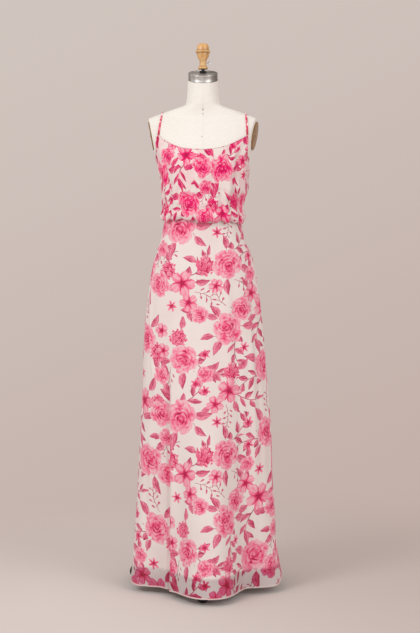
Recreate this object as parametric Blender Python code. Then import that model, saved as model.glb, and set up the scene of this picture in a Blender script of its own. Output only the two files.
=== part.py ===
"""A sleeveless maxi dress of printed chiffon on a wheeled dress form.

Metres, +Z up. The front of the dress faces -Y and the viewer's right is +X. Azimuths are in
degrees round the column, 0 at the front, 90 at the viewer's right, 180 at the back.
"""

import math
from collections import namedtuple

import bmesh
import bpy
import numpy as np
from mathutils import Matrix, Vector

for old in list(bpy.data.objects):
    bpy.data.objects.remove(old)

# General sizes

MM = 0.001
SEAM_GAP = 0.3 * MM
CLOTH = 1.2 * MM
LINING_CLOTH = 1.0 * MM
FULLNESS = 2.3  # exponent of the oval sections, where 2 is a true ellipse

Section = namedtuple("Section", "height left right front back")
Fold = namedtuple("Fold", "azimuth width rise start lining_share")
Sag = namedtuple("Sag", "azimuth width drop")
Roll = namedtuple("Roll", "height out sag_share")
Finish = namedtuple("Finish", "colour roughness metallic")

# Heights of the dress and the form

SEAM_HEIGHT = 1.2165
BODICE_STRAIGHT = 1.245
NECKLINE_CENTRE = 1.4335
STRAP_CORNER = 1.4845
UNDERARM = 1.409
BACK_TOP = 1.398
BACK_SIDE_RISE = UNDERARM - BACK_TOP
HEM_FRONT = 0.023
HEM_BACK = 0.080
LINING_HEM_FRONT = 0.079
LINING_ABOVE_HEM = 0.027
FORM_BOTTOM = 0.800
NECK_CUT = 1.6682

# Half widths and depths of each level, from the outline in the photograph

FORM_SECTIONS = [
    Section(0.800, 0.150, 0.150, 0.088, 0.108),
    Section(0.840, 0.161, 0.161, 0.096, 0.120),
    Section(0.900, 0.167, 0.167, 0.100, 0.127),
    Section(0.960, 0.168, 0.168, 0.102, 0.128),
    Section(1.010, 0.163, 0.163, 0.103, 0.120),
    Section(1.060, 0.152, 0.152, 0.101, 0.107),
    Section(1.110, 0.137, 0.137, 0.094, 0.093),
    Section(1.160, 0.121, 0.121, 0.085, 0.082),
    Section(1.210, 0.1135, 0.1135, 0.080, 0.077),
    Section(1.260, 0.117, 0.117, 0.085, 0.079),
    Section(1.300, 0.124, 0.124, 0.098, 0.084),
    Section(1.340, 0.133, 0.133, 0.118, 0.091),
    Section(1.375, 0.141, 0.141, 0.126, 0.098),
    Section(1.410, 0.1465, 0.1465, 0.1195, 0.103),
    Section(1.430, 0.158, 0.158, 0.110, 0.105),
    Section(1.440, 0.163, 0.163, 0.105, 0.1045),
    Section(1.455, 0.172, 0.172, 0.097, 0.104),
    Section(1.470, 0.180, 0.180, 0.090, 0.103),
    Section(1.500, 0.190, 0.190, 0.076, 0.098),
    Section(1.525, 0.192, 0.192, 0.064, 0.088),
    Section(1.538, 0.187, 0.187, 0.055, 0.077),
    Section(1.546, 0.172, 0.172, 0.051, 0.071),
    Section(1.553, 0.153, 0.153, 0.050, 0.067),
    Section(1.5615, 0.131, 0.131, 0.050, 0.063),
    Section(1.570, 0.106, 0.106, 0.051, 0.060),
    Section(1.578, 0.081, 0.081, 0.053, 0.058),
    Section(1.586, 0.0605, 0.0605, 0.0555, 0.056),
    Section(1.598, 0.0555, 0.0555, 0.0560, 0.0525),
    Section(1.640, 0.0510, 0.0510, 0.0560, 0.0460),
    Section(1.705, 0.0485, 0.0485, 0.0570, 0.0400),
]
BODICE_SECTIONS = [
    Section(1.200, 0.1325, 0.1325, 0.1275, 0.108),
    Section(1.245, 0.132, 0.132, 0.129, 0.107),
    Section(1.278, 0.133, 0.136, 0.131, 0.106),
    Section(1.310, 0.135, 0.147, 0.134, 0.107),
    Section(1.345, 0.140, 0.149, 0.1365, 0.109),
    Section(1.375, 0.149, 0.154, 0.136, 0.111),
    Section(1.410, 0.154, 0.1515, 0.1265, 0.110),
    Section(1.430, 0.162, 0.162, 0.115, 0.110),
    Section(1.440, 0.167, 0.167, 0.109, 0.109),
    Section(1.455, 0.176, 0.176, 0.101, 0.108),
    Section(1.470, 0.184, 0.184, 0.094, 0.107),
    Section(1.500, 0.194, 0.194, 0.080, 0.102),
]
SKIRT_SECTIONS = [
    Section(0.020, 0.233, 0.254, 0.203, 0.250),
    Section(0.060, 0.231, 0.248, 0.201, 0.247),
    Section(0.100, 0.228, 0.244, 0.199, 0.243),
    Section(0.220, 0.221, 0.239, 0.193, 0.232),
    Section(0.360, 0.213, 0.230, 0.183, 0.216),
    Section(0.520, 0.206, 0.225, 0.170, 0.197),
    Section(0.690, 0.199, 0.211, 0.153, 0.176),
    Section(0.820, 0.195, 0.201, 0.139, 0.162),
    Section(0.910, 0.188, 0.192, 0.130, 0.153),
    Section(0.960, 0.181, 0.186, 0.126, 0.148),
    Section(1.010, 0.174, 0.178, 0.123, 0.141),
    Section(1.070, 0.163, 0.168, 0.120, 0.131),
    Section(1.110, 0.151, 0.154, 0.117, 0.121),
    Section(1.150, 0.137, 0.137, 0.114, 0.111),
    Section(1.185, 0.1305, 0.131, 0.1125, 0.102),
    Section(1.200, 0.1270, 0.1270, 0.1125, 0.0985),
    Section(1.2065, 0.1222, 0.1222, 0.1140, 0.0970),
    Section(1.2165, 0.1207, 0.1207, 0.1177, 0.0957),
]

# Folds of the skirt: how far each stands out at the hem, and the height where it begins

SKIRT_FOLDS = [
    Fold(3, 14.5, 0.104, 0.86, 0.30),
    Fold(-41, 15, -0.040, 0.98, 1.0),
    Fold(-72, 12, 0.011, 0.90, 0.7),
    Fold(38, 13, -0.032, 0.80, 1.0),
    Fold(62, 13, 0.009, 1.05, 0.7),
    Fold(96, 11, 0.009, 0.30, 0.5),
    Fold(125, 12, 0.016, 0.90, 0.7),
    Fold(147, 11, -0.015, 1.00, 1.0),
    Fold(168, 12, 0.021, 0.95, 0.7),
    Fold(190, 10, -0.013, 1.00, 1.0),
    Fold(211, 12, 0.019, 0.90, 0.7),
    Fold(-124, 11, -0.013, 0.95, 1.0),
    Fold(-104, 11, 0.006, 0.80, 0.7),
]
FOLD_GROWTH = 1.4
BELOW_SEAM = [0, 9 * MM, 18 * MM, 32 * MM, 58 * MM]

# Blouson: the bodice hangs over the waist seam and turns under it

BLOUSON_ROLL = [
    Roll(1.2345, 0.0030, 0.2),
    Roll(1.2250, 0.0065, 0.6),
    Roll(1.2165, 0.0060, 0.9),
    Roll(1.2100, 0.0020, 1.0),
    Roll(1.2078, -0.0035, 1.0),
    Roll(1.2092, -0.0080, 0.9),
    Roll(1.2130, -0.0100, 0.5),
    Roll(SEAM_HEIGHT, -0.0104, 0.0),
]
BLOUSON_SAGS = [
    Sag(-90, 16, -0.003),
    Sag(-62, 12, 0.005),
    Sag(-28, 14, -0.002),
    Sag(5, 18, 0.008),
    Sag(36, 15, 0.008),
    Sag(64, 13, 0.012),
    Sag(90, 12, -0.003),
    Sag(140, 20, 0.004),
    Sag(215, 20, 0.004),
]
SAG_FADE_HEIGHT = 1.12

# Straps and bindings

STRAP_AZIMUTH = 47.4
BACK_STRAP_AZIMUTH = 139.0
STRAP_WIDTH = 6.2 * MM
STRAP_THICK = 2.0 * MM
STRAP_CREST_X = {"left": 0.133, "right": 0.1405}
STRAP_OFF_FORM = 1.1 * MM
BINDING_DEPTH = 4.0 * MM
BINDING_THICK = 2.6 * MM
NECKLINE_POWER = {"left": 2.6, "right": 1.9}
ARMHOLE_POWER = {"left": 2.0, "right": 3.8}

# Form fittings

CAP_TILT = math.radians(19)
CAP_RADIUS = 48.2 * MM
CAP_HEIGHT = 24 * MM
NECK_CENTRE_Y = -0.0085
PLATE_CENTRE_HEIGHT = 1.487
PLATE_X = 0.1685
PLATE_LEAN = -0.181
PLATE_TURN = {"left": -0.03, "right": -0.10}
PLATE_HALF_DEPTH = 0.033
PLATE_HALF_HEIGHT = 0.047
PLATE_THICK = 4 * MM
FINIAL_BOTTOM = 1.7023
FINIAL_SCREW_HEIGHT = 21.5 * MM

# Stand

CASTER_REACH = 0.2475
CASTER_TURN = 2.2
WHEEL_RADIUS = 22 * MM
WHEEL_WIDTH = 17 * MM
WHEEL_BORE = 3.5 * MM
AXLE_RADIUS = 3.0 * MM
TRAIL = 9 * MM
FORK_CLEAR = 1.5 * MM
FORK_PLATE = 3 * MM
FORK_LENGTH = 18 * MM
FORK_FOOT = 14 * MM
FORK_ARCH = 47 * MM
FORK_TOP = 52.7 * MM
SWIVEL_RADIUS = 14 * MM
LEG_BOTTOM = FORK_TOP + SEAM_GAP
BOSS_RADIUS = 16 * MM
BOSS_TOP = 66 * MM
HUB_RADIUS = 36 * MM
HUB_BOTTOM = 44 * MM
HUB_TOP = 100 * MM
TUBE_RADIUS = 17 * MM
TUBE_BORE = 13.6 * MM
TUBE_TOP = 0.620
COLLAR_RADIUS = 25 * MM
COLLAR_TOP = 0.650
POLE_RADIUS = 13 * MM
POLE_BOTTOM = 0.450
FLANGE_RADIUS = 0.055
FLANGE_THICK = 8 * MM
CASTERS = {"front": 0.0, "right": 120.0, "left": -120.0}
TRAIL_SIDE = {"front": -1, "right": 1, "left": -1}

FINISHES = {
    "chiffon": Finish((0.90, 0.55, 0.65), 0.75, 0.0),
    "lining": Finish((0.92, 0.87, 0.84), 0.60, 0.0),
    "strap_cloth": Finish((0.85, 0.16, 0.36), 0.70, 0.0),
    "linen": Finish((0.90, 0.86, 0.78), 0.85, 0.0),
    "steel": Finish((0.62, 0.62, 0.62), 0.30, 1.0),
    "turned_wood": Finish((0.78, 0.56, 0.33), 0.45, 0.0),
    "brown_plate": Finish((0.40, 0.26, 0.13), 0.45, 0.0),
    "black_metal": Finish((0.03, 0.03, 0.03), 0.45, 0.6),
    "black_rubber": Finish((0.02, 0.02, 0.02), 0.65, 0.0),
}


# Meshes and objects


def finish_of(name):
    """The material of that name, made the first time it is asked for."""
    found = bpy.data.materials.get(name)
    if found:
        return found
    finish = FINISHES[name]
    material = bpy.data.materials.new(name)
    material.use_nodes = True
    shader = material.node_tree.nodes["Principled BSDF"]
    shader.inputs["Base Color"].default_value = (*finish.colour, 1)
    shader.inputs["Roughness"].default_value = finish.roughness
    shader.inputs["Metallic"].default_value = finish.metallic
    return material


def empty(name, location, parent=None):
    frame = bpy.data.objects.new(name, None)
    frame.location = location
    frame.parent = parent
    bpy.context.scene.collection.objects.link(frame)
    return frame


def piece(name, bm, finish, parent, location=(0, 0, 0)):
    """An object of the bmesh, with smooth shading on its round sides."""
    mesh = bpy.data.meshes.new(name)
    bm.to_mesh(mesh)
    bm.free()
    mesh.shade_smooth()
    mesh.set_sharp_from_angle(angle=math.radians(35))
    mesh.materials.append(finish_of(finish))
    made = bpy.data.objects.new(name, mesh)
    made.parent = parent
    made.location = location
    bpy.context.scene.collection.objects.link(made)
    return made


def helper(name, bm):
    """A hidden shape that a Boolean joins to another."""
    mesh = bpy.data.meshes.new(name)
    bm.to_mesh(mesh)
    bm.free()
    made = bpy.data.objects.new(name, mesh)
    made.hide_render = True
    made.display_type = "WIRE"
    bpy.context.scene.collection.objects.link(made)
    return made


def join_with(target, *others):
    """Boolean unions. The helpers are in the target's own space, so they share its parent and place."""
    for other in others:
        other.parent = target.parent
        other.location = target.location
        union = target.modifiers.new("join_" + other.name, "BOOLEAN")
        union.operation = "UNION"
        union.object = other


def cylinder(radius, low, high, sides=24, centre=(0, 0)):
    bm = bmesh.new()
    bmesh.ops.create_cone(
        bm, cap_ends=True, segments=sides, radius1=radius, radius2=radius, depth=high - low
    )
    bmesh.ops.translate(bm, verts=bm.verts, vec=(*centre, (low + high) / 2))
    return bm


def turned(profile, sides):
    """A solid turned round +Z from (radius, height) points that start and end on the axis."""
    bm = bmesh.new()
    points = [bm.verts.new((radius, 0, height)) for radius, height in profile]
    edges = [bm.edges.new(pair) for pair in zip(points, points[1:])]
    bmesh.ops.spin(
        bm, geom=points + edges, cent=(0, 0, 0), axis=(0, 0, 1), angle=math.tau, steps=sides, use_merge=True
    )
    bmesh.ops.remove_doubles(bm, verts=bm.verts, dist=0.01 * MM)
    bmesh.ops.recalc_face_normals(bm, faces=bm.faces)
    return bm


def ring_wall(bore, radius, low, high, sides=24):
    """A pipe: a square section spun round +Z."""
    bm = bmesh.new()
    corners = [(bore, low), (radius, low), (radius, high), (bore, high)]
    points = [bm.verts.new((across, 0, height)) for across, height in corners]
    edges = [bm.edges.new((points[i], points[(i + 1) % 4])) for i in range(4)]
    bmesh.ops.spin(
        bm, geom=points + edges, cent=(0, 0, 0), axis=(0, 0, 1), angle=math.tau, steps=sides, use_merge=True
    )
    bmesh.ops.remove_doubles(bm, verts=bm.verts, dist=0.01 * MM)
    bmesh.ops.recalc_face_normals(bm, faces=bm.faces)
    return bm


def skin_rows(bm, rows, closed=False):
    """Quads between rows of points that run from the top down and from left to right, facing out."""
    made = [[bm.verts.new(point) for point in row] for row in rows]
    for above, below in zip(made, made[1:]):
        for i in range(len(above) - (not closed)):
            j = (i + 1) % len(above)
            bm.faces.new((above[i], below[i], below[j], above[j]))
    return made


def cloth_panel(name, rows, thickness, finish, parent):
    """A wall of cloth whose outer face runs through the rows of points."""
    bm = bmesh.new()
    skin_rows(bm, rows)
    panel = piece(name, bm, finish, parent)
    wall = panel.modifiers.new("thickness", "SOLIDIFY")
    wall.thickness = thickness
    wall.offset = -1
    wall.use_even_offset = True
    return panel


def sweep(name, centres, width_dirs, thick_dirs, width, thick, finish, parent, sides=6):
    """A flat cord of oval section through the centres."""
    bm = bmesh.new()
    rows = []
    for centre, across, out in zip(centres, width_dirs, thick_dirs):
        turns = [math.tau * k / sides for k in range(sides)]
        rows.append(
            [centre + across * (math.cos(t) * width / 2) + out * (math.sin(t) * thick / 2) for t in turns]
        )
    made = skin_rows(bm, rows, closed=True)
    bm.faces.new(made[0])
    bm.faces.new(made[-1])
    bmesh.ops.recalc_face_normals(bm, faces=bm.faces)
    return piece(name, bm, finish, parent)


# Sections


def hermite(places, values, at):
    """A smooth curve through (places, values), with the slope at each taken from its neighbours."""
    places, values = np.asarray(places, float), np.asarray(values, float)
    slopes = np.gradient(values, places)
    at = min(max(at, places[0]), places[-1])
    i = int(min(max(np.searchsorted(places, at) - 1, 0), len(places) - 2))
    span = places[i + 1] - places[i]
    t = (at - places[i]) / span
    return float(
        (1 + 2 * t) * (1 - t) ** 2 * values[i]
        + t * (1 - t) ** 2 * span * slopes[i]
        + t * t * (3 - 2 * t) * values[i + 1]
        + t * t * (t - 1) * span * slopes[i + 1]
    )


def section_at(table, height):
    heights = [row.height for row in table]
    sizes = [hermite(heights, [row[k] for row in table], height) for k in range(1, 5)]
    return Section(height, *sizes)


def oval_point(section, azimuth, grow=0.0):
    """The point of a section at that azimuth, with every half size grown by the same amount."""
    s, c = math.sin(math.radians(azimuth)), math.cos(math.radians(azimuth))
    across = (section.right if s > 0 else section.left) + grow
    deep = (section.front if c > 0 else section.back) + grow
    x = math.copysign(abs(s) ** (2 / FULLNESS), s) * across
    y = -math.copysign(abs(c) ** (2 / FULLNESS), c) * deep
    return Vector((x, y, section.height))


def azimuth_from(azimuth, centre):
    """The signed angle from centre to azimuth, from -180 to 180."""
    return (azimuth - centre + 180) % 360 - 180


def bump(azimuth, centre, width):
    return math.exp(-((azimuth_from(azimuth, centre) / width) ** 2))


def smooth_step(low, high, value):
    t = min(max((value - low) / (high - low), 0), 1)
    return t * t * (3 - 2 * t)


def sag_at(azimuth):
    """How much lower the blouson hangs at this azimuth."""
    return sum(sag.drop * bump(azimuth, sag.azimuth, sag.width) for sag in BLOUSON_SAGS)


# Skirt and lining


def skirt_point(azimuth, height, inset=0.0, lining=False):
    fade = smooth_step(SAG_FADE_HEIGHT, 1.20, height)
    lowered = height + sag_at(azimuth) * fade * (height < SEAM_HEIGHT - 2 * MM)
    section = section_at(SKIRT_SECTIONS, min(lowered, SEAM_HEIGHT))
    point = oval_point(section, azimuth, -inset)
    rise = 0.0
    for fold in SKIRT_FOLDS:
        grown = max(fold.start - height, 0) / fold.start
        share = fold.lining_share if lining else 1.0
        rise += share * fold.rise * grown**FOLD_GROWTH * bump(azimuth, fold.azimuth, fold.width)
    outwards = Vector((point.x, point.y, 0)).normalized()
    point += outwards * rise
    point.z = height
    return point


def hem_height(azimuth):
    """The hem clears the floor at the front, and rides over the two rear casters."""
    return HEM_FRONT + (HEM_BACK - HEM_FRONT) * smooth_step(62, 112, abs(azimuth_from(azimuth, 0)))


def lining_hem_height(azimuth):
    return max(LINING_HEM_FRONT, hem_height(azimuth) + LINING_ABOVE_HEM)


def lining_inset(height):
    return 2.3 * MM + 5.7 * MM * smooth_step(SEAM_HEIGHT, 0.85, height)


def skirt_rows(azimuths, row_count, hem, side, inset=None, lining=False):
    """Rows from the waist seam to the hem, moved along Y by half the gap of the side seams."""
    rows = []
    lowest_drop = BELOW_SEAM[-1]
    for k in range(len(BELOW_SEAM) + row_count):
        row = []
        for azimuth in azimuths:
            if k < len(BELOW_SEAM):
                height = SEAM_HEIGHT - BELOW_SEAM[k]
            else:
                share = (k - len(BELOW_SEAM) + 1) / row_count
                height = SEAM_HEIGHT - lowest_drop - (SEAM_HEIGHT - lowest_drop - hem(azimuth)) * share
            taken_in = inset(height) if inset else 0.0
            point = skirt_point(azimuth, height, taken_in, lining)
            row.append(point + Vector((0, side * SEAM_GAP / 2, 0)))
        rows.append(row)
    return rows


def half_turn(first, last, steps):
    return [first + (last - first) * i / steps for i in range(steps + 1)]


def build_skirt(parent):
    rows = skirt_rows(half_turn(-90, 90, 36), 12, hem_height, -1)
    cloth_panel("skirt_front", rows, CLOTH, "chiffon", parent)
    rows = skirt_rows(half_turn(90, 270, 30), 12, hem_height, 1)
    cloth_panel("skirt_back", rows, CLOTH, "chiffon", parent)


def build_lining(parent):
    rows = skirt_rows(half_turn(-90, 90, 24), 6, lining_hem_height, -1, lining_inset, True)
    cloth_panel("lining_front", rows, LINING_CLOTH, "lining", parent)
    rows = skirt_rows(half_turn(90, 270, 24), 6, lining_hem_height, 1, lining_inset, True)
    cloth_panel("lining_back", rows, LINING_CLOTH, "lining", parent)


def shifted(rows, depth):
    """The rows moved along Y, so that a side seam keeps its gap."""
    return [[point + Vector((0, depth, 0)) for point in row] for row in rows]


# Bodice


def neckline_height(azimuth):
    side = "right" if azimuth > 0 else "left"
    share = abs(azimuth) / STRAP_AZIMUTH
    return NECKLINE_CENTRE + (STRAP_CORNER - NECKLINE_CENTRE) * share ** NECKLINE_POWER[side]


def armhole_height(azimuth):
    side = "right" if azimuth > 0 else "left"
    share = (90 - abs(azimuth)) / (90 - STRAP_AZIMUTH)
    return UNDERARM + (STRAP_CORNER - UNDERARM) * share ** ARMHOLE_POWER[side]


def front_top(azimuth):
    return neckline_height(azimuth) if abs(azimuth) <= STRAP_AZIMUTH else armhole_height(azimuth)


def back_top(azimuth):
    from_middle = abs(azimuth_from(azimuth, 180)) / 90
    return BACK_TOP + BACK_SIDE_RISE * from_middle**2


def bodice_point(azimuth, height):
    return oval_point(section_at(BODICE_SECTIONS, height), azimuth)


def bodice_rows(azimuths, top, level_count):
    """Rows from the top edge down to where the blouson starts, then round its roll to the seam."""
    rows = []
    for k in range(level_count + 1):
        share = k / level_count
        heights = [top(a) + (BODICE_STRAIGHT - top(a)) * share for a in azimuths]
        rows.append([bodice_point(a, h) for a, h in zip(azimuths, heights)])
    base = section_at(BODICE_SECTIONS, BODICE_STRAIGHT)
    for roll in BLOUSON_ROLL:
        row = []
        for azimuth in azimuths:
            point = oval_point(base, azimuth, roll.out)
            point.z = roll.height - sag_at(azimuth) * roll.sag_share
            row.append(point)
        rows.append(row)
    return rows


def front_azimuths():
    side = half_turn(-90, -STRAP_AZIMUTH, 7)
    middle = half_turn(-STRAP_AZIMUTH, STRAP_AZIMUTH, 16)
    return side + middle[1:] + [-a for a in reversed(side[:-1])]


def back_azimuths():
    to_strap = half_turn(90, BACK_STRAP_AZIMUTH, 6)
    middle = half_turn(BACK_STRAP_AZIMUTH, 360 - BACK_STRAP_AZIMUTH, 10)
    return to_strap + middle[1:] + [360 - a for a in reversed(to_strap[:-1])]


def build_bodice(parent):
    rows = bodice_rows(front_azimuths(), front_top, 8)
    cloth_panel("bodice_front", shifted(rows, -SEAM_GAP / 2), CLOTH, "chiffon", parent)
    rows = bodice_rows(back_azimuths(), back_top, 5)
    cloth_panel("bodice_back", shifted(rows, SEAM_GAP / 2), CLOTH, "chiffon", parent)


def bodice_normal(azimuth, height):
    """The outward normal of the bodice at that azimuth and height."""
    along = bodice_point(azimuth + 1, height) - bodice_point(azimuth - 1, height)
    upward = bodice_point(azimuth, height + 2 * MM) - bodice_point(azimuth, height - 2 * MM)
    return along.cross(upward).normalized()


def build_bindings(parent):
    """A narrow roll of the same cloth along each armhole, from the front strap to the back one."""
    for side, sign in (("left", -1), ("right", 1)):
        front = [STRAP_AZIMUTH + 1.5] + [-a for a in front_azimuths() if a < -STRAP_AZIMUTH - 1][::-1]
        back = half_turn(90, BACK_STRAP_AZIMUTH, 6)[1:-1]
        points, outs = [], []
        for azimuths, top, seam_side in ((front, front_top, -1), (back, back_top, 1)):
            for azimuth in azimuths:
                height = top(azimuth * sign)
                points.append(bodice_point(azimuth * sign, height) + Vector((0, seam_side * SEAM_GAP / 2, 0)))
                outs.append(bodice_normal(azimuth * sign, height))
        ups = []
        for i, out in enumerate(outs):
            along = points[min(i + 1, len(points) - 1)] - points[max(i - 1, 0)]
            ups.append((out.cross(along) * sign).normalized())
        lift = BINDING_DEPTH / 2 + 2 * SEAM_GAP
        centres = [p + up * lift - out * (CLOTH / 2) for p, up, out in zip(points, ups, outs)]
        sweep(
            f"armhole_binding_{side}", centres, ups, outs, BINDING_DEPTH, BINDING_THICK, "strap_cloth", parent
        )


def form_depth(x, height, front):
    """How far the form's surface lies from the column at that x and height, 0 past its side."""
    section = section_at(FORM_SECTIONS, height)
    inside = 1 - (abs(x) / section.right) ** FULLNESS
    deep = section.front if front else section.back
    return deep * max(inside, 0) ** (1 / FULLNESS)


def crest_height(x):
    """The height of the shoulder's crest at x."""
    heights = np.linspace(1.535, 1.60, 261)
    widths = np.array([section_at(FORM_SECTIONS, h).right for h in heights])
    return float(heights[np.argmin(np.abs(widths - abs(x)))])


def build_straps(parent):
    """Narrow rolled straps that rise from the corners of the bodice and lie on the shoulders."""
    for side, sign in (("left", -1), ("right", 1)):
        crest_x = STRAP_CREST_X[side]
        crest = crest_height(crest_x)
        corners = []
        for azimuth, top in ((STRAP_AZIMUTH, STRAP_CORNER), (BACK_STRAP_AZIMUTH, back_top(BACK_STRAP_AZIMUTH))):
            above_edge = Vector((0, 0, 3 * SEAM_GAP))
            inwards = bodice_normal(azimuth * sign, top) * (CLOTH / 2)
            corners.append(bodice_point(azimuth * sign, top) + above_edge - inwards)
        centres, outs = [], []
        for corner, front in zip(corners, (True, False)):
            half = []
            for k in range(11):
                share = math.sin(math.pi / 2 * k / 10)
                height = corner.z + (crest - corner.z) * share
                x = abs(corner.x) + (crest_x - abs(corner.x)) * share
                off_form = STRAP_OFF_FORM + STRAP_THICK / 2
                depth = form_depth(x, height, front) + off_form * math.cos(math.pi / 2 * k / 10)
                if k < 3:
                    depth += (abs(corner.y) - depth) * (1 - k / 3)
                lifted = height + off_form * share
                half.append(Vector((sign * x, -depth if front else depth, lifted)))
            centres += half if front else half[-2::-1]
        across = []
        for i in range(len(centres)):
            along = (centres[min(i + 1, len(centres) - 1)] - centres[max(i - 1, 0)]).normalized()
            lean = -0.40 if 5 <= i <= 15 else -0.12
            wide = Vector((sign, 0, lean))
            wide = (wide - along * wide.dot(along)).normalized()
            across.append(wide)
            outs.append(wide.cross(along) * sign)
        sweep(f"strap_{side}", centres, across, outs, STRAP_WIDTH, STRAP_THICK, "strap_cloth", parent)


# Dress form


def cut_flat(bm, point, normal):
    """Cuts away what lies beyond a plane and closes the cut."""
    geometry = list(bm.verts) + list(bm.edges) + list(bm.faces)
    cut = bmesh.ops.bisect_plane(
        bm, geom=geometry, dist=0.01 * MM, plane_co=point, plane_no=normal, clear_outer=True
    )
    edges = [item for item in cut["geom_cut"] if isinstance(item, bmesh.types.BMEdge)]
    bmesh.ops.contextual_create(bm, geom=edges)


def plate_frame(side):
    """Centre and outward normal of the flat at the armhole."""
    sign = 1 if side == "right" else -1
    normal = Vector((sign, PLATE_TURN[side], PLATE_LEAN)).normalized()
    return Vector((sign * PLATE_X, 0.004, PLATE_CENTRE_HEIGHT)), normal


def neck_plane():
    normal = Vector((0, -math.sin(CAP_TILT), math.cos(CAP_TILT)))
    return Vector((0, NECK_CENTRE_Y, NECK_CUT)), normal


def build_form_body(parent):
    heights = [row.height for row in FORM_SECTIONS][::-1]
    azimuths = [360 * k / 36 for k in range(36)]
    rows = []
    for height in heights:
        section = section_at(FORM_SECTIONS, height)
        rows.append([oval_point(section, a) for a in azimuths])
    bm = bmesh.new()
    made = skin_rows(bm, rows, closed=True)
    bm.faces.new(made[0])
    bm.faces.new(list(reversed(made[-1])))
    bmesh.ops.recalc_face_normals(bm, faces=bm.faces)
    cut_flat(bm, *neck_plane())
    for side in ("left", "right"):
        cut_flat(bm, *plate_frame(side))
    bmesh.ops.remove_doubles(bm, verts=bm.verts, dist=0.05 * MM)
    bmesh.ops.recalc_face_normals(bm, faces=bm.faces)
    return piece("form_body", bm, "linen", parent)


def build_arm_plates(parent):
    """Oval plates that close the armholes of the form."""
    for side in ("left", "right"):
        centre, normal = plate_frame(side)
        bm = cylinder(1.0, SEAM_GAP, PLATE_THICK, sides=28)
        rim = [e for e in bm.edges if all(v.co.z > PLATE_THICK / 2 for v in e.verts)]
        bmesh.ops.scale(bm, verts=bm.verts, vec=(PLATE_HALF_HEIGHT, PLATE_HALF_DEPTH, 1))
        bmesh.ops.bevel(bm, geom=rim, offset=1.5 * MM, segments=2, profile=0.5, affect="EDGES", material=-1)
        up = Vector((0, 0, 1)) - normal * normal.z
        up.normalize()
        turn = Matrix((up, normal.cross(up), normal)).transposed()
        bmesh.ops.rotate(bm, verts=bm.verts, cent=(0, 0, 0), matrix=turn)
        bmesh.ops.translate(bm, verts=bm.verts, vec=centre)
        piece(f"arm_plate_{side}", bm, "brown_plate", parent)


def build_neck_cap(parent):
    r, h = CAP_RADIUS, CAP_HEIGHT
    profile = [(0, SEAM_GAP), (r - 0.6 * MM, SEAM_GAP), (r, 1 * MM), (r, h - 2.5 * MM), (r - 0.8 * MM, h - 0.9 * MM)]
    profile += [(r - 2.5 * MM, h), (0, h)]
    bm = turned(profile, 32)
    centre, _ = neck_plane()
    bmesh.ops.rotate(bm, verts=bm.verts, cent=(0, 0, 0), matrix=Matrix.Rotation(CAP_TILT, 3, "X"))
    bmesh.ops.translate(bm, verts=bm.verts, vec=centre)
    piece("neck_cap", bm, "steel", parent)


def build_finial(parent):
    """A turned wooden finial on the rod that comes up through the neck cap."""
    centre, normal = neck_plane()
    on_cap = centre + normal * (CAP_HEIGHT + SEAM_GAP)
    nut = cylinder(12 * MM, 0, 5 * MM, sides=16)
    bmesh.ops.rotate(nut, verts=nut.verts, cent=(0, 0, 0), matrix=Matrix.Rotation(CAP_TILT, 3, "X"))
    bmesh.ops.translate(nut, verts=nut.verts, vec=on_cap)
    neck_nut = piece("neck_nut", nut, "black_metal", parent)
    rod = cylinder(5 * MM, on_cap.z + 2 * MM, FINIAL_BOTTOM - SEAM_GAP, 16, (on_cap.x, on_cap.y))
    join_with(neck_nut, helper("neck_rod", rod))

    profile = [(0, 0), (14, 0), (16.3, 1.6), (16.3, 6.5), (14, 9), (11.6, 12), (11.4, 27), (13.4, 31)]
    profile += [(17.4, 37), (20.2, 45), (20.9, 52), (24.3, 55.5), (24.3, 59), (20.8, 62), (20.2, 72)]
    profile += [(17.6, 79), (11.5, 83.3), (0, 84.4)]
    bm = turned([(r * MM, z * MM) for r, z in profile], 20)
    place = (on_cap.x, on_cap.y, FINIAL_BOTTOM)
    piece("finial", bm, "turned_wood", parent, place)

    screw = cylinder(2.2 * MM, 12.2 * MM, 21 * MM, sides=12)
    wing = bmesh.new()
    bmesh.ops.create_cube(wing, size=1)
    bmesh.ops.scale(wing, verts=wing.verts, vec=(2.4 * MM, 13 * MM, 8 * MM))
    bmesh.ops.translate(wing, verts=wing.verts, vec=(0, 0, 23 * MM))
    bmesh.ops.bevel(wing, geom=wing.edges, offset=0.8 * MM, segments=1, profile=0.5, affect="EDGES", material=-1)
    to_side = Matrix.Rotation(math.radians(90), 3, "Y")
    for bm in (screw, wing):
        bmesh.ops.rotate(bm, verts=bm.verts, cent=(0, 0, 0), matrix=to_side)
    height = FINIAL_BOTTOM + FINIAL_SCREW_HEIGHT
    wing_screw = piece("wing_screw", screw, "steel", parent, (on_cap.x, on_cap.y, height))
    join_with(wing_screw, helper("wing_blade", wing))


# Stand


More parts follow.
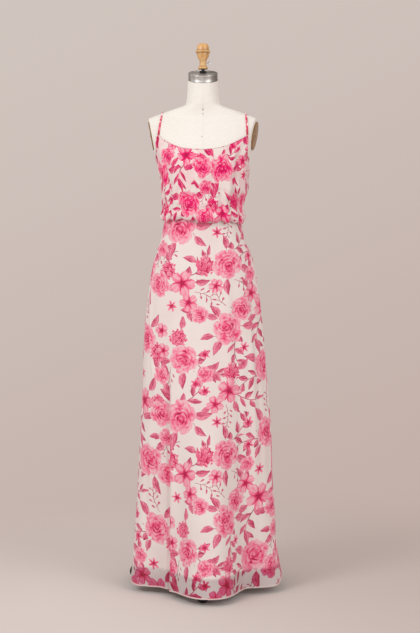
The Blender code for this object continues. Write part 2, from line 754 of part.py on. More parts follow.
def build_column(stand, form):
    piece("column_tube", ring_wall(TUBE_BORE, TUBE_RADIUS, HUB_TOP + SEAM_GAP, TUBE_TOP), "steel", stand)
    collar = ring_wall(TUBE_BORE, COLLAR_RADIUS, TUBE_TOP + SEAM_GAP, COLLAR_TOP)
    piece("clamp_collar", collar, "black_metal", stand)
    profile = [(0, 0), (4, 0), (4, 9), (14, 11), (15, 14), (15, 21), (12, 24), (0, 24)]
    knob = turned([(r * MM, z * MM) for r, z in profile], 16)
    bmesh.ops.rotate(knob, verts=knob.verts, cent=(0, 0, 0), matrix=Matrix.Rotation(math.radians(-90), 3, "X"))
    middle = (TUBE_TOP + COLLAR_TOP) / 2
    piece("clamp_knob", knob, "black_metal", stand, (0, COLLAR_RADIUS + SEAM_GAP, middle))

    flange_bottom = FORM_BOTTOM - SEAM_GAP - FLANGE_THICK
    pole = cylinder(POLE_RADIUS, POLE_BOTTOM, flange_bottom - SEAM_GAP)
    piece("column_pole", pole, "steel", form)
    flange = cylinder(FLANGE_RADIUS, flange_bottom, flange_bottom + FLANGE_THICK, sides=28)
    piece("form_flange", flange, "black_metal", form)


def caster_place(name):
    angle = math.radians(CASTERS[name] + CASTER_TURN)
    return Vector((math.sin(angle) * CASTER_REACH, -math.cos(angle) * CASTER_REACH, 0))


def build_leg(name, stand):
    """A tapered cast leg from the hub to the boss over its caster."""
    place = caster_place(name)
    length = CASTER_REACH
    outline = [
        (HUB_RADIUS + SEAM_GAP, 0.052, 0.088, 13 * MM),
        (0.10, 0.052, 0.076, 11.5 * MM),
        (0.17, 0.0525, 0.068, 10.5 * MM),
        (length - 6 * MM, LEG_BOTTOM + 0.6 * MM, BOSS_TOP - 1 * MM, 9.5 * MM),
    ]
    bm = bmesh.new()
    rows = []
    for reach, low, high, half in outline:
        rows.append([(half, reach, low), (half, reach, high), (-half, reach, high), (-half, reach, low)])
    made = skin_rows(bm, [[Vector(p) for p in row] for row in rows], closed=True)
    bm.faces.new(made[0])
    bm.faces.new(made[-1])
    bmesh.ops.recalc_face_normals(bm, faces=bm.faces)
    turn = Matrix.Rotation(math.atan2(place.y, place.x) - math.pi / 2, 3, "Z")
    bmesh.ops.rotate(bm, verts=bm.verts, cent=(0, 0, 0), matrix=turn)
    leg = piece(f"leg_{name}", bm, "black_metal", stand)
    boss = cylinder(BOSS_RADIUS, LEG_BOTTOM, BOSS_TOP, 20, (place.x, place.y))
    join_with(leg, helper(f"boss_{name}", boss))


def build_caster(name, stand):
    """A fork that swivels under the leg's boss, and a wheel on its axle."""
    place = caster_place(name)
    fork_frame = empty(f"swivel_{name}", place, stand)
    axle_x = TRAIL * TRAIL_SIDE[name]
    inner = WHEEL_WIDTH / 2 + FORK_CLEAR
    outer = inner + FORK_PLATE
    section = [
        (outer, FORK_FOOT), (outer, FORK_ARCH + 3 * MM), (-outer, FORK_ARCH + 3 * MM), (-outer, FORK_FOOT),
        (-inner, FORK_FOOT), (-inner, FORK_ARCH), (inner, FORK_ARCH), (inner, FORK_FOOT),
    ]
    bm = bmesh.new()
    corners = [bm.verts.new((axle_x - FORK_LENGTH / 2, y, z)) for y, z in section]
    made = bmesh.ops.extrude_face_region(bm, geom=[bm.faces.new(corners)])
    moved = [item for item in made["geom"] if isinstance(item, bmesh.types.BMVert)]
    bmesh.ops.translate(bm, verts=moved, vec=(FORK_LENGTH, 0, 0))
    bmesh.ops.recalc_face_normals(bm, faces=bm.faces)
    fork = piece(f"fork_{name}", bm, "black_metal", fork_frame)
    swivel = cylinder(SWIVEL_RADIUS, FORK_ARCH + 1 * MM, FORK_TOP, 20)
    axle = cylinder(AXLE_RADIUS, -outer + 1 * MM, outer - 1 * MM, 16)
    bmesh.ops.rotate(axle, verts=axle.verts, cent=(0, 0, 0), matrix=Matrix.Rotation(math.radians(90), 3, "X"))
    bmesh.ops.translate(axle, verts=axle.verts, vec=(axle_x, 0, WHEEL_RADIUS))
    join_with(fork, helper(f"swivel_plate_{name}", swivel), helper(f"axle_{name}", axle))

    sides = 20
    tread = WHEEL_RADIUS / math.cos(math.pi / sides)
    half = WHEEL_WIDTH / 2
    section = [
        (WHEEL_BORE, -half), (tread - 3.5 * MM, -half), (tread, -half + 3.5 * MM),
        (tread, half - 3.5 * MM), (tread - 3.5 * MM, half), (WHEEL_BORE, half),
    ]
    bm = bmesh.new()
    points = [bm.verts.new((radius, 0, along)) for radius, along in section]
    edges = [bm.edges.new((points[i], points[(i + 1) % len(points)])) for i in range(len(points))]
    bmesh.ops.spin(
        bm, geom=points + edges, cent=(0, 0, 0), axis=(0, 0, 1), angle=math.tau, steps=sides, use_merge=True
    )
    bmesh.ops.remove_doubles(bm, verts=bm.verts, dist=0.01 * MM)
    bmesh.ops.recalc_face_normals(bm, faces=bm.faces)
    flat_down = Matrix.Rotation(math.radians(90), 3, "X") @ Matrix.Rotation(math.pi / sides, 3, "Z")
    bmesh.ops.rotate(bm, verts=bm.verts, cent=(0, 0, 0), matrix=flat_down)
    piece(f"wheel_{name}", bm, "black_rubber", fork_frame, (axle_x, 0, WHEEL_RADIUS))


def build_stand(stand):
    piece("hub", cylinder(HUB_RADIUS, HUB_BOTTOM, HUB_TOP, 28), "black_metal", stand)
    for name in CASTERS:
        build_leg(name, stand)
        build_caster(name, stand)


def centre_on_origin(root):
    """Moves the whole model so that the middle of its box stands over the origin."""
    bpy.context.view_layer.update()
    graph = bpy.context.evaluated_depsgraph_get()
    corners = []
    for obj in bpy.context.scene.objects:
        if obj.type == "MESH" and not obj.hide_render:
            shown = obj.evaluated_get(graph)
            corners += [shown.matrix_world @ v.co for v in shown.data.vertices]
    points = np.array([tuple(corner) for corner in corners])
    middle = (points.min(0) + points.max(0)) / 2
    root.location = (-middle[0], -middle[1], 0)
    bpy.context.view_layer.update()


stand_frame = empty("stand", (0, 0, 0))
form_frame = empty("form", (0, 0, 0), stand_frame)
build_stand(stand_frame)
build_column(stand_frame, form_frame)
build_form_body(form_frame)
build_arm_plates(form_frame)
build_neck_cap(form_frame)
build_finial(form_frame)
build_lining(form_frame)
build_skirt(form_frame)
build_bodice(form_frame)
build_bindings(form_frame)
build_straps(form_frame)
centre_on_origin(stand_frame)
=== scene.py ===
"""A sleeveless maxi dress of printed chiffon on a wheeled dress form, in soft studio light."""

import math
from collections import namedtuple

import bmesh
import bpy
import numpy as np
from mathutils import Matrix, Vector


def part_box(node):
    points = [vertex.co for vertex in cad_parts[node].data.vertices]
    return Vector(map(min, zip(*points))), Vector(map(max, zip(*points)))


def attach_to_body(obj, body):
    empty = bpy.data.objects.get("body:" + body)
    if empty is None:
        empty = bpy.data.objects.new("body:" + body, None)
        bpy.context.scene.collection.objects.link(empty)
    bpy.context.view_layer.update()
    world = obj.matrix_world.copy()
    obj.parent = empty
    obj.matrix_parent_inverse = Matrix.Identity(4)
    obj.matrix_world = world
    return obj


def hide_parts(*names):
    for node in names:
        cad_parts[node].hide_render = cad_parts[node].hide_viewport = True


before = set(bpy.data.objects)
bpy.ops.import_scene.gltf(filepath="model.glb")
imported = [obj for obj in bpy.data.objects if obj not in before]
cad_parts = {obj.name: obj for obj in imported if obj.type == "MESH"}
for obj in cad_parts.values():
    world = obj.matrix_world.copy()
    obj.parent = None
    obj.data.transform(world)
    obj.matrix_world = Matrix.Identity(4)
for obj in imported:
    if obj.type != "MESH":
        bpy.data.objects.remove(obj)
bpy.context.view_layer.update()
pole_low, pole_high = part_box("column_pole")
AXIS = Vector(((pole_low.x + pole_high.x) / 2, (pole_low.y + pole_high.y) / 2, 0))


# Camera. It stands in front of the column, a little to its right, and looks slightly down, so that
# the floor runs up the lower third of the picture.

EYE_DISTANCE = 4.6
EYE_HEIGHT = 1.05
EYE_ASIDE = 0.023
EYE_TILT = math.radians(1.955)
collection = bpy.context.scene.collection
camera = bpy.data.objects.new("camera", bpy.data.cameras.new("camera"))
camera.location = AXIS + Vector((EYE_ASIDE, -EYE_DISTANCE, EYE_HEIGHT))
camera.rotation_euler = (math.pi / 2 - EYE_TILT, 0, 0)
camera.data.lens = 79.28
camera.data.sensor_width = 36
collection.objects.link(camera)
bpy.context.scene.camera = camera
bpy.context.scene.view_settings.view_transform = "Standard"


# Studio. A wide matt floor, painted darker to the right as painted shade, fades further off into an
# emission that glows in the haze's own warm grey, darker to the right and lower down. A soft lamp
# stands in front to the left, a broader and weaker one in front to the right, and the haze lights the
# rest.


class Value:
    """An output socket that takes part in Python sums. Each sum adds one math node to its net."""

    def __init__(self, net, socket):
        self.net = net
        self.socket = socket

    def __add__(self, other):
        return self.net.math("ADD", self, other)

    def __sub__(self, other):
        return self.net.math("SUBTRACT", self, other)

    def __rsub__(self, other):
        return self.net.math("SUBTRACT", other, self)

    def __mul__(self, other):
        return self.net.math("MULTIPLY", self, other)

    def __truediv__(self, other):
        return self.net.math("DIVIDE", self, other)

    def __pow__(self, other):
        return self.net.math("POWER", self, other)

    def __abs__(self):
        return self.net.math("ABSOLUTE", self)

    def at_least(self, other):
        return self.net.math("MAXIMUM", self, other)


class Net:
    """Short calls for the nodes of one tree. Each call gives back its output as a Value."""

    def __init__(self, tree):
        self.tree = tree

    def feed(self, socket, value):
        """Links a Value to a socket, and sets the socket to anything else."""
        if isinstance(value, Value):
            self.tree.links.new(value.socket, socket)
        else:
            socket.default_value = value

    def add(self, kind, inputs, output=0, **settings):
        node = self.tree.nodes.new("ShaderNode" + kind)
        for key, value in settings.items():
            setattr(node, key, value)
        for key, value in inputs.items():
            self.feed(node.inputs[key], value)
        return Value(self, node.outputs[output])

    def math(self, operation, *values, clamp=False):
        return self.add("Math", dict(enumerate(values)), operation=operation, use_clamp=clamp)

    def vector(self, operation, *values, output=0):
        return self.add("VectorMath", dict(enumerate(values)), output, operation=operation)

    def length(self, vector):
        return self.vector("LENGTH", vector, output="Value")

    def mix(self, share, low, high):
        return self.add("Mix", {0: share, 2: low, 3: high})

    def mix_vector(self, share, low, high):
        return self.add("Mix", {0: share, 4: low, 5: high}, 1, data_type="VECTOR")

    def mix_colour(self, share, low, high, blend="MIX"):
        return self.add("Mix", {0: share, 6: low, 7: high}, 2, data_type="RGBA", blend_type=blend)

    def step(self, value, low, high, to_low=0.0, to_high=1.0):
        inputs = {0: value, 1: low, 2: high, 3: to_low, 4: to_high}
        return self.add("MapRange", inputs, interpolation_type="SMOOTHSTEP")

    def fall(self, value, low, high):
        return self.step(value, low, high, 1.0, 0.0)

    def noise(self, place, scale, detail=2.0, output="Fac", stretch=None):
        if stretch:
            place = self.vector("MULTIPLY", place, stretch)
        return self.add("TexNoise", {"Vector": place, "Scale": scale, "Detail": detail}, output)

    def split(self, vector):
        parts = self.add("SeparateXYZ", {0: vector}).socket.node.outputs
        return Value(self, parts[0]), Value(self, parts[1]), Value(self, parts[2])

    def join(self, x, y, z):
        return self.add("CombineXYZ", {0: x, 1: y, 2: z})

    def ramp(self, share, stops):
        """Colours along a share, from stops of a position and a colour given as 0 to 255."""
        ramp = self.add("ValToRGB", {0: share})
        elements = ramp.socket.node.color_ramp.elements
        while len(elements) < len(stops):
            elements.new(0.5)
        for element, (position, colour) in zip(elements, stops):
            element.position = position
            element.color = linear(*colour)
        return ramp

    def bump(self, height, strength, distance, **normal):
        return self.add("Bump", {"Height": height, "Strength": strength, "Distance": distance, **normal})

    def place(self):
        """The place on the object, in metres from the origin."""
        return self.add("TexCoord", {}, "Object")

    def finish(self, values):
        """Gives the shader what its sockets are to hold, and gives back its output."""
        shader = self.tree.nodes["Principled BSDF"]
        for name, value in values.items():
            self.feed(shader.inputs[name], value)
        return Value(self, shader.outputs[0])


def linear(red, green, blue):
    """A colour given as 0 to 255, as the linear numbers that materials take."""
    parts = [c / 255 for c in (red, green, blue)]
    return tuple(c / 12.92 if c < 0.04045 else ((c + 0.055) / 1.055) ** 2.4 for c in parts) + (1,)


def start_material(name):
    material = bpy.data.materials.new(name)
    material.use_nodes = True
    return material, Net(material.node_tree)


def haze_colour(net, aside, upward):
    """The haze's colour, from how far to the right and how far up from straight ahead it lies."""
    return net.mix_colour(
        net.step(aside * 0.43 - upward, -0.31, 0.34), linear(209, 197, 191), linear(194, 174, 167)
    )


def new_object(name, bm, material, smooth=True):
    mesh = bpy.data.meshes.new(name)
    bm.to_mesh(mesh)
    bm.free()
    if smooth:
        mesh.shade_smooth()
        mesh.set_sharp_from_angle(angle=math.radians(40))
    mesh.materials.append(material)
    made = bpy.data.objects.new(name, mesh)
    collection.objects.link(made)
    return made


world = bpy.data.worlds.new("haze")
world.use_nodes = True
net = Net(world.node_tree)
aside, _, upward = net.split(net.add("TexCoord", {}, "Generated"))
net.feed(world.node_tree.nodes["Background"].inputs["Color"], haze_colour(net, aside, upward))
bpy.context.scene.world = world

floor_with_painted_shade_and_glow, net = start_material("matt_studio_floor")
place = net.place()
distance = net.length(place)
across_floor, _, _ = net.split(place)
paint_and_painted_shade = net.ramp(net.noise(place, 1.3, 3.0), [(0.3, (223, 219, 216)), (0.7, (220, 216, 213))])
# Painted shade: the floor's colour darkens towards the right.
paint_and_painted_shade = net.mix_colour(net.step(across_floor, -0.6, 0.9), paint_and_painted_shade, linear(204, 197, 193))
lit_floor = net.finish({"Base Color": paint_and_painted_shade, "Roughness": 0.95, "Specular IOR Level": 0.1})
# Painted light: further off, the floor becomes an emission that glows in the haze's colour, darker to the
# right and lower down, though it is no lamp.
from_eye = distance + EYE_DISTANCE
painted_glow_colour = haze_colour(net, across_floor / from_eye, net.math("DIVIDE", -EYE_HEIGHT, from_eye))
painted_far_glow = net.add("Emission", {"Color": painted_glow_colour})
blend = net.add("MixShader", {0: net.step(distance, 0.10, 2.3), 1: lit_floor, 2: painted_far_glow})
net.feed(floor_with_painted_shade_and_glow.node_tree.nodes["Material Output"].inputs["Surface"], blend)
bm = bmesh.new()
bmesh.ops.create_circle(bm, cap_ends=True, segments=96, radius=150)
new_object("studio_floor", bm, floor_with_painted_shade_and_glow, smooth=False)

LIT_POINT = Vector((0, 0, 1.25))
Lamp = namedtuple("Lamp", "name azimuth elevation distance size power")
for lamp in (
    Lamp("key_light", -42, 24, 3.3, 1.5, 46),
    Lamp("front_light", 40, 14, 4.0, 2.6, 50),
):
    light = bpy.data.lights.new(lamp.name, "AREA")
    light.shape = "DISK"
    light.size = lamp.size
    light.energy = lamp.power
    holder = bpy.data.objects.new(lamp.name, light)
    holder.rotation_euler = (math.radians(90 - lamp.elevation), 0, math.radians(lamp.azimuth))
    back_off = holder.rotation_euler.to_matrix() @ Vector((0, 0, lamp.distance))
    holder.location = AXIS + LIT_POINT + back_off
    holder.visible_camera = False
    collection.objects.link(holder)


# Floral print. Watercolour roses, open blossoms, flower heads and leafy sprigs in pinks on a pale
# ground, grouped into sprays in a half-drop repeat and drawn in metres of flat cloth.

MM = 0.001


def table(columns, *rows):
    """Rows with named columns. Those marked with a star are given in mm and kept in metres."""
    columns = columns.split()
    Row = namedtuple("Row", [column.strip("*") for column in columns])
    units = [MM if column.startswith("*") else 1 for column in columns]
    return [Row(*[value * unit for value, unit in zip(row, units)]) for row in rows]


MOTIF_COLUMNS = "kind *across *up *radius turn"
REPEAT_WIDTH = 0.46
REPEAT_HEIGHT = 0.61
SPRAY_DESIGNS = {
    "rose pair": table(
        MOTIF_COLUMNS,
        ("sprig", -78, -50, 68, 205),
        ("twig", 105, 50, 50, 35),
        ("leaf", -64, 26, 36, 158),
        ("leaf", 52, 48, 33, 48),
        ("leaf", 20, -78, 36, -72),
        ("small leaf", -36, 64, 29, 112),
        ("small leaf", 122, -50, 28, -12),
        ("star", -98, 62, 19, 10),
        ("rose", 0, 0, 55, 20),
        ("near rose", 74, -40, 43, 130),
    ),
    "blossoms": table(
        MOTIF_COLUMNS,
        ("sprig", 10, -92, 70, -75),
        ("twig", -88, -34, 50, 200),
        ("leaf", 30, 66, 34, 72),
        ("leaf", -40, -52, 31, 235),
        ("small leaf", -98, 50, 27, 150),
        ("small leaf", 104, -16, 30, -18),
        ("head", 66, 16, 39, 15),
        ("star", -36, 80, 21, 40),
        ("blossom", 0, 0, 46, 10),
        ("near blossom", -64, 26, 34, 55),
    ),
    "rose and head": table(
        MOTIF_COLUMNS,
        ("sprig", 80, 62, 70, 40),
        ("twig", 30, -90, 50, -60),
        ("leaf", 56, -40, 36, -38),
        ("leaf", -28, -66, 32, 252),
        ("small leaf", 20, 68, 28, 80),
        ("small leaf", -106, 58, 28, 140),
        ("head", -70, 20, 37, 60),
        ("star", 92, -6, 20, 25),
        ("near blossom", -60, -52, 26, 20),
        ("rose", 0, 0, 52, 250),
    ),
    "small rose": table(
        MOTIF_COLUMNS,
        ("small leaf", -34, 22, 27, 150),
        ("leaf", 36, -18, 28, -30),
        ("near rose", 0, 0, 30, 60),
    ),
}
SPRAYS = table(
    "design *across *up turn size",
    ("rose pair", 87, 88, 0, 1),
    ("blossoms", 244, 55, 130, 0.95),
    ("rose and head", 391, 116, 20, 1),
    ("blossoms", 74, 277, -20, 1),
    ("rose pair", 235, 236, 205, 1.05),
    ("blossoms", 396, 319, 65, 0.9),
    ("rose and head", 97, 481, 160, 1),
    ("rose and head", 248, 421, -60, 0.95),
    ("rose pair", 391, 518, 80, 0.95),
    ("small rose", 160, 165, 30, 1),
    ("small rose", 318, 372, 250, 0.95),
    ("small rose", 165, 365, 140, 1),
    ("small rose", 300, 565, 15, 1),
    ("small rose", 20, 385, 300, 0.9),
)


def spray_motifs():
    """Every motif of the repeat: each spray's design, turned, sized and set in its place."""
    motifs = []
    for spray in SPRAYS:
        cosine = spray.size * math.cos(math.radians(spray.turn))
        sine = spray.size * math.sin(math.radians(spray.turn))
        for motif in SPRAY_DESIGNS[spray.design]:
            across = spray.across + motif.across * cosine - motif.up * sine
            up = spray.up + motif.across * sine + motif.up * cosine
            up += math.floor(across / REPEAT_WIDTH) * REPEAT_HEIGHT / 2
            place = {"across": across % REPEAT_WIDTH, "up": up % REPEAT_HEIGHT}
            radius, turn = motif.radius * spray.size, motif.turn + spray.turn
            motifs.append(motif._replace(radius=radius, turn=turn, **place))
    return motifs


def local_places(net, place, motifs):
    """The place inside the nearest motif here, as x and y from -1 to 1, with its seed as z."""
    found, size, nearest = (9.0, 9.0, 0.0), 1.0, 1.08
    copies = [(column, row) for column in (-1, 0, 1) for row in (-1, 0, 1)]
    for motif in motifs:
        for column, row in copies:
            x = motif.across + column * REPEAT_WIDTH
            y = motif.up - column * REPEAT_HEIGHT / 2 + row * REPEAT_HEIGHT
            outside = math.hypot(max(-x, x - REPEAT_WIDTH, 0), max(-y, y - REPEAT_HEIGHT, 0))
            if outside > motif.radius * 1.05:
                continue
            away = net.vector("DISTANCE", place, (x, y, 0), output="Value") * (1 / motif.radius)
            nearer = net.math("LESS_THAN", away, nearest)
            nearest = net.math("MINIMUM", away, nearest)
            found = net.mix_vector(nearer, found, (x, y, math.radians(motif.turn)))
            size = net.mix(nearer, size, motif.radius)
    x, y, turn = net.split(found)
    offset = net.vector("SUBTRACT", place, net.join(x, y, 0.0))
    turned = net.add("VectorRotate", {"Vector": offset, "Angle": turn * -1.0}, rotation_type="Z_AXIS")
    scaled = net.vector("DIVIDE", turned, net.join(size, size, 1.0))
    return net.vector("ADD", scaled, net.join(0.0, 0.0, turn * 5.3))


def wavered(net, spot, size, scale):
    """The same place moved a little, so that drawn lines waver as a brush does."""
    drift = net.vector("SUBTRACT", net.noise(spot, scale, 2.0, "Color"), (0.5, 0.5, 0.5))
    return net.vector("ADD", spot, net.vector("MULTIPLY", drift, (size, size, 0)))


def polar(net, spot, centre=(0.0, 0.0)):
    x, y, seed = net.split(net.vector("SUBTRACT", spot, (centre[0], centre[1], 0)))
    return net.math("SQRT", x * x + y * y), net.math("ARCTAN2", y, x), seed


def lobes(net, angle, count, power, start=0.0):
    """Rounded petal tips round a flower: 1 in the middle of each petal and 0 between two."""
    return abs(net.math("COSINE", angle * (count / 2) + start)) ** power


def brush_streaks(net, angle, radius, seed, count):
    """Fine streaks that run out from the heart of a flower."""
    across = net.math("COSINE", angle) * count
    upward = net.math("SINE", angle) * count
    return net.noise(net.join(across, upward, radius * 1.1 + seed), 1.0, 2.0) - 0.5


def wash(net, spot, scale, low, high, detail=3.0):
    """Uneven strength of the paint, as in a watercolour wash."""
    return net.step(net.noise(spot, scale, detail), 0.3, 0.7, low, high)


PetalRing = namedtuple("PetalRing", "radius petals notch turn pale dark")
ROSE_RINGS = [
    PetalRing(0.99, 5, 0.26, 0.0, 0.05, 0.50),
    PetalRing(0.77, 5, 0.26, 0.8, 0.05, 0.80),
    PetalRing(0.56, 4, 0.26, 2.0, 0.06, 1.00),
    PetalRing(0.37, 3, 0.30, 0.4, 0.12, 1.08),
    PetalRing(0.19, 2, 0.32, 1.4, 0.30, 1.12),
]


def draw_rose(net, spot):
    """Rings of overlapping petals about an off-centre heart, each pale at its rim and dark below it."""
    spot = wavered(net, wavered(net, spot, 0.40, 2.1), 0.07, 9.0)
    tone = 0.0
    inner_radii = [ring.radius for ring in ROSE_RINGS[1:]] + [0.0]
    for number, (ring, inner) in enumerate(zip(ROSE_RINGS, inner_radii)):
        radius, angle, seed = polar(net, spot, (0.035 * number, 0.022 * number))
        lobe = lobes(net, angle - radius * 0.8, ring.petals, 0.55, ring.turn - math.pi / 2)
        deep = lobe * (ring.radius * ring.notch) + ring.radius * (1 - ring.notch) - radius
        inside = net.step(deep, -0.010, 0.016)
        share = net.math("DIVIDE", deep, ring.radius - inner * 0.90, clamp=True)
        shade = net.mix(share**1.7, ring.pale, ring.dark) + (1.0 - lobe) * 0.45
        tone = net.mix(inside, tone, shade)
        if number == 0:
            cover = inside
            streaks = brush_streaks(net, angle, radius, seed, 4.2)
    tone = tone * wash(net, spot, 2.8, 0.50, 1.20) + streaks * 0.60
    return cover, tone.at_least(0.03)


def draw_blossom(net, spot):
    """Five broad open petals, notched at their tips, with streaks that run out from a dark heart."""
    radius, angle, seed = polar(net, wavered(net, spot, 0.26, 2.6))
    lobe = lobes(net, angle, 5, 1.0)
    rim = lobe**0.50 * 0.52 + 0.47 - lobe**14.0 * 0.09
    deep = rim - radius
    tone = net.step(radius, 0.02, 0.50, 0.95, 0.14) + (1.0 - lobe) ** 2.2 * 0.60
    tone = tone + net.step(deep, 0.0, 0.07, 0.24, 0.0)
    tone = tone + brush_streaks(net, angle, radius, seed, 5.4) * 0.95
    return net.step(deep, -0.012, 0.018), tone.at_least(0.03)


def draw_star(net, spot):
    """A small flower with six narrow pointed petals."""
    radius, angle, seed = polar(net, wavered(net, spot, 0.30, 2.2))
    rim = lobes(net, angle, 6, 1.2) * 0.74 + 0.22
    tone = net.step(radius, 0.05, 0.75, 0.92, 0.24) + brush_streaks(net, angle, radius, seed, 4.0) * 0.6
    return net.step(rim - radius, -0.02, 0.03), tone


def draw_head(net, spot):
    """A round head of many small four-petalled florets, each with a dark heart."""
    _, _, seed = net.split(spot)
    shift = net.join(seed, seed, 0.0)
    place = net.vector("ADD", wavered(net, spot, 0.16, 2.6), shift)
    cells = {"Vector": place, "Scale": 4.3, "Randomness": 0.9}
    heart = net.add("TexVoronoi", cells, "Position", voronoi_dimensions="2D")
    lit, turn, _ = net.split(Value(net, heart.socket.node.outputs["Color"]))
    radius, angle, _ = polar(net, net.vector("SUBTRACT", place, heart))
    deep = lobes(net, angle, 4, 0.6, turn * 6.0) * 0.055 + 0.078 - radius
    in_head = net.math("LESS_THAN", net.length(net.vector("SUBTRACT", heart, shift)), 0.84)
    floret = net.step(deep, -0.006, 0.010) * in_head
    from_middle = net.length(net.vector("MULTIPLY", spot, (1.0, 1.0, 0.0)))
    filled = net.fall(net.noise(spot, 3.0, 2.0) * 0.5 + from_middle, 0.88, 0.94)
    petal = lit * 0.34 + net.step(radius, 0.015, 0.06, 0.70, 0.10) + net.step(deep, 0.0, 0.02, 0.22, 0.0)
    return filled.at_least(floret), net.mix(floret, 0.82, petal)


def leaf_shape(net, along, across, length, half_width):
    """Cover and tone of one pointed leaf: dark midrib and side veins, and one half in shade."""
    share = along / length
    width = share * (1.0 - share) * (share * -3.0 + 5.6) * half_width
    off = abs(across)
    inset = width - off
    vein = net.math("SINE", (along - off * 0.85) * (46.0 / length))
    tone = net.step(vein, 0.45, 1.0, 0.0, 0.26) + net.step(across, -0.012, 0.012, 0.22, 0.50)
    tone = tone + net.step(inset, 0.008, 0.035, 0.26, 0.0)
    streak = net.join(along * (3.0 / length), across * (4.0 / half_width), 0.0)
    tone = tone + (net.noise(streak, 1.0, 2.0) - 0.5) * 1.5
    return net.step(inset, -0.006, 0.010), net.mix(net.fall(off, 0.004, 0.020), tone, 0.95)


def between(net, x, start, end):
    """1 from start to end along x, with soft ends."""
    return net.step(x, *start) * net.fall(x, *end)


def draw_leaf(net, spot):
    """One large leaf on a short stalk, bent a little."""
    spot = wavered(net, spot, 0.16, 2.4)
    x, y, _ = net.split(spot)
    bent = y - x * x * 0.22
    cover, tone = leaf_shape(net, x + 0.72, bent, 1.66, 0.36)
    stalk = net.fall(abs(bent), 0.018, 0.032) * net.fall(x, -0.66, -0.60)
    return cover.at_least(stalk), net.mix(stalk, tone, 0.9) * wash(net, spot, 2.2, 0.55, 1.15)


def folded_stem(net, spot, bend, pitch, lean):
    """A bent stem, and the place within one of the side shoots that leave it by turns."""
    x, y, _ = net.split(spot)
    bent = x * x * bend + y - bend * 0.3
    off = abs(bent)
    upper = net.math("GREATER_THAN", bent, 0.0)
    in_cell = net.math("WRAP", x + upper * (pitch / 2) + 3.02, pitch, 0.0) - 0.10
    cosine, sine = math.cos(lean), math.sin(lean)
    return x, bent, off, in_cell * cosine + off * sine, off * cosine - in_cell * sine


def draw_sprig(net, spot):
    """A bent stem with leaves that stand off it by turns, and one at its tip."""
    spot = wavered(net, spot, 0.20, 2.0)
    x, bent, off, shoot_x, shoot_y = folded_stem(net, spot, -0.34, 0.58, math.radians(44))
    cover, tone = leaf_shape(net, shoot_x - 0.035, shoot_y, 0.60, 0.118)
    cover = cover * between(net, x, (-0.80, -0.74), (0.54, 0.60))
    tip_cover, tip_tone = leaf_shape(net, x - 0.48, bent, 0.50, 0.105)
    stem = net.step(x * -0.008 + 0.018 - off, -0.006, 0.008)
    stem = stem * between(net, x, (-0.96, -0.92), (0.52, 0.58))
    tone = net.mix(stem, net.mix(tip_cover, tone, tip_tone), 0.95)
    return cover.at_least(tip_cover).at_least(stem), tone * wash(net, spot, 2.6, 0.60, 1.15, 2.0)


def draw_twig(net, spot):
    """A thin bent twig with buds on short stalks."""
    spot = wavered(net, spot, 0.24, 2.2)
    x, _, off, shoot_x, shoot_y = folded_stem(net, spot, 0.30, 0.40, math.radians(52))
    stalk = net.fall(abs(shoot_y), 0.010, 0.022) * net.fall(shoot_x, 0.26, 0.30)
    bud_edge = net.length(net.join(shoot_x * 8.5 - 3.1, shoot_y * 15.0, 0.0))
    bud = net.fall(bud_edge, 0.85, 1.05)
    cover = stalk.at_least(bud) * between(net, x, (-0.62, -0.56), (0.66, 0.72))
    stem = net.fall(off, 0.012, 0.024) * between(net, x, (-0.90, -0.85), (0.80, 0.86))
    return cover.at_least(stem), net.mix(bud, 0.80, net.step(bud_edge, 0.2, 1.0, 0.30, 0.75))


PRINT_ORDER = [
    ("sprig", draw_sprig),
    ("twig", draw_twig),
    ("leaf", draw_leaf),
    ("small leaf", draw_leaf),
    ("head", draw_head),
    ("star", draw_star),
    ("blossom", draw_blossom),
    ("near blossom", draw_blossom),
    ("rose", draw_rose),
    ("near rose", draw_rose),
]
LEAF_STOPS = [
    (0.0, (234, 172, 184)),
    (0.30, (222, 116, 146)),
    (0.62, (198, 68, 108)),
    (1.0, (150, 26, 72)),
]
FLOWER_STOPS = [
    (0.0, (234, 194, 200)),
    (0.20, (236, 152, 174)),
    (0.45, (234, 96, 138)),
    (0.72, (214, 48, 100)),
    (1.0, (166, 16, 70)),
]
GROUND_STOPS = [(0.35, (230, 224, 221)), (0.72, (227, 215, 213))]


def new_group(name, entry, exits):
    """An empty node group with one vector input. Gives its net, its input and its output node."""
    tree = bpy.data.node_groups.new(name, "ShaderNodeTree")
    tree.interface.new_socket(name=entry, in_out="INPUT", socket_type="NodeSocketVector")
    for socket, kind in exits:
        tree.interface.new_socket(name=socket, in_out="OUTPUT", socket_type="NodeSocket" + kind)
    net = Net(tree)
    value = Value(net, tree.nodes.new("NodeGroupInput").outputs[entry])
    return net, value, tree.nodes.new("NodeGroupOutput")


def use_group(net, tree, value):
    """Puts a group into a net, fed with one value. Gives its two outputs."""
    node = net.tree.nodes.new("ShaderNodeGroup")
    node.node_tree = tree
    net.feed(node.inputs[0], value)
    return Value(net, node.outputs[0]), Value(net, node.outputs[1])


def motif_group(kind, draw, motifs):
    exits = [("Cover", "Float"), ("Tone", "Float")]
    net, place, group_output = new_group(kind.replace(" ", "_") + "_motif", "Place", exits)
    cover, tone = draw(net, local_places(net, place, motifs))
    net.feed(group_output.inputs["Cover"], cover)
    net.feed(group_output.inputs["Tone"], tone)
    return net.tree


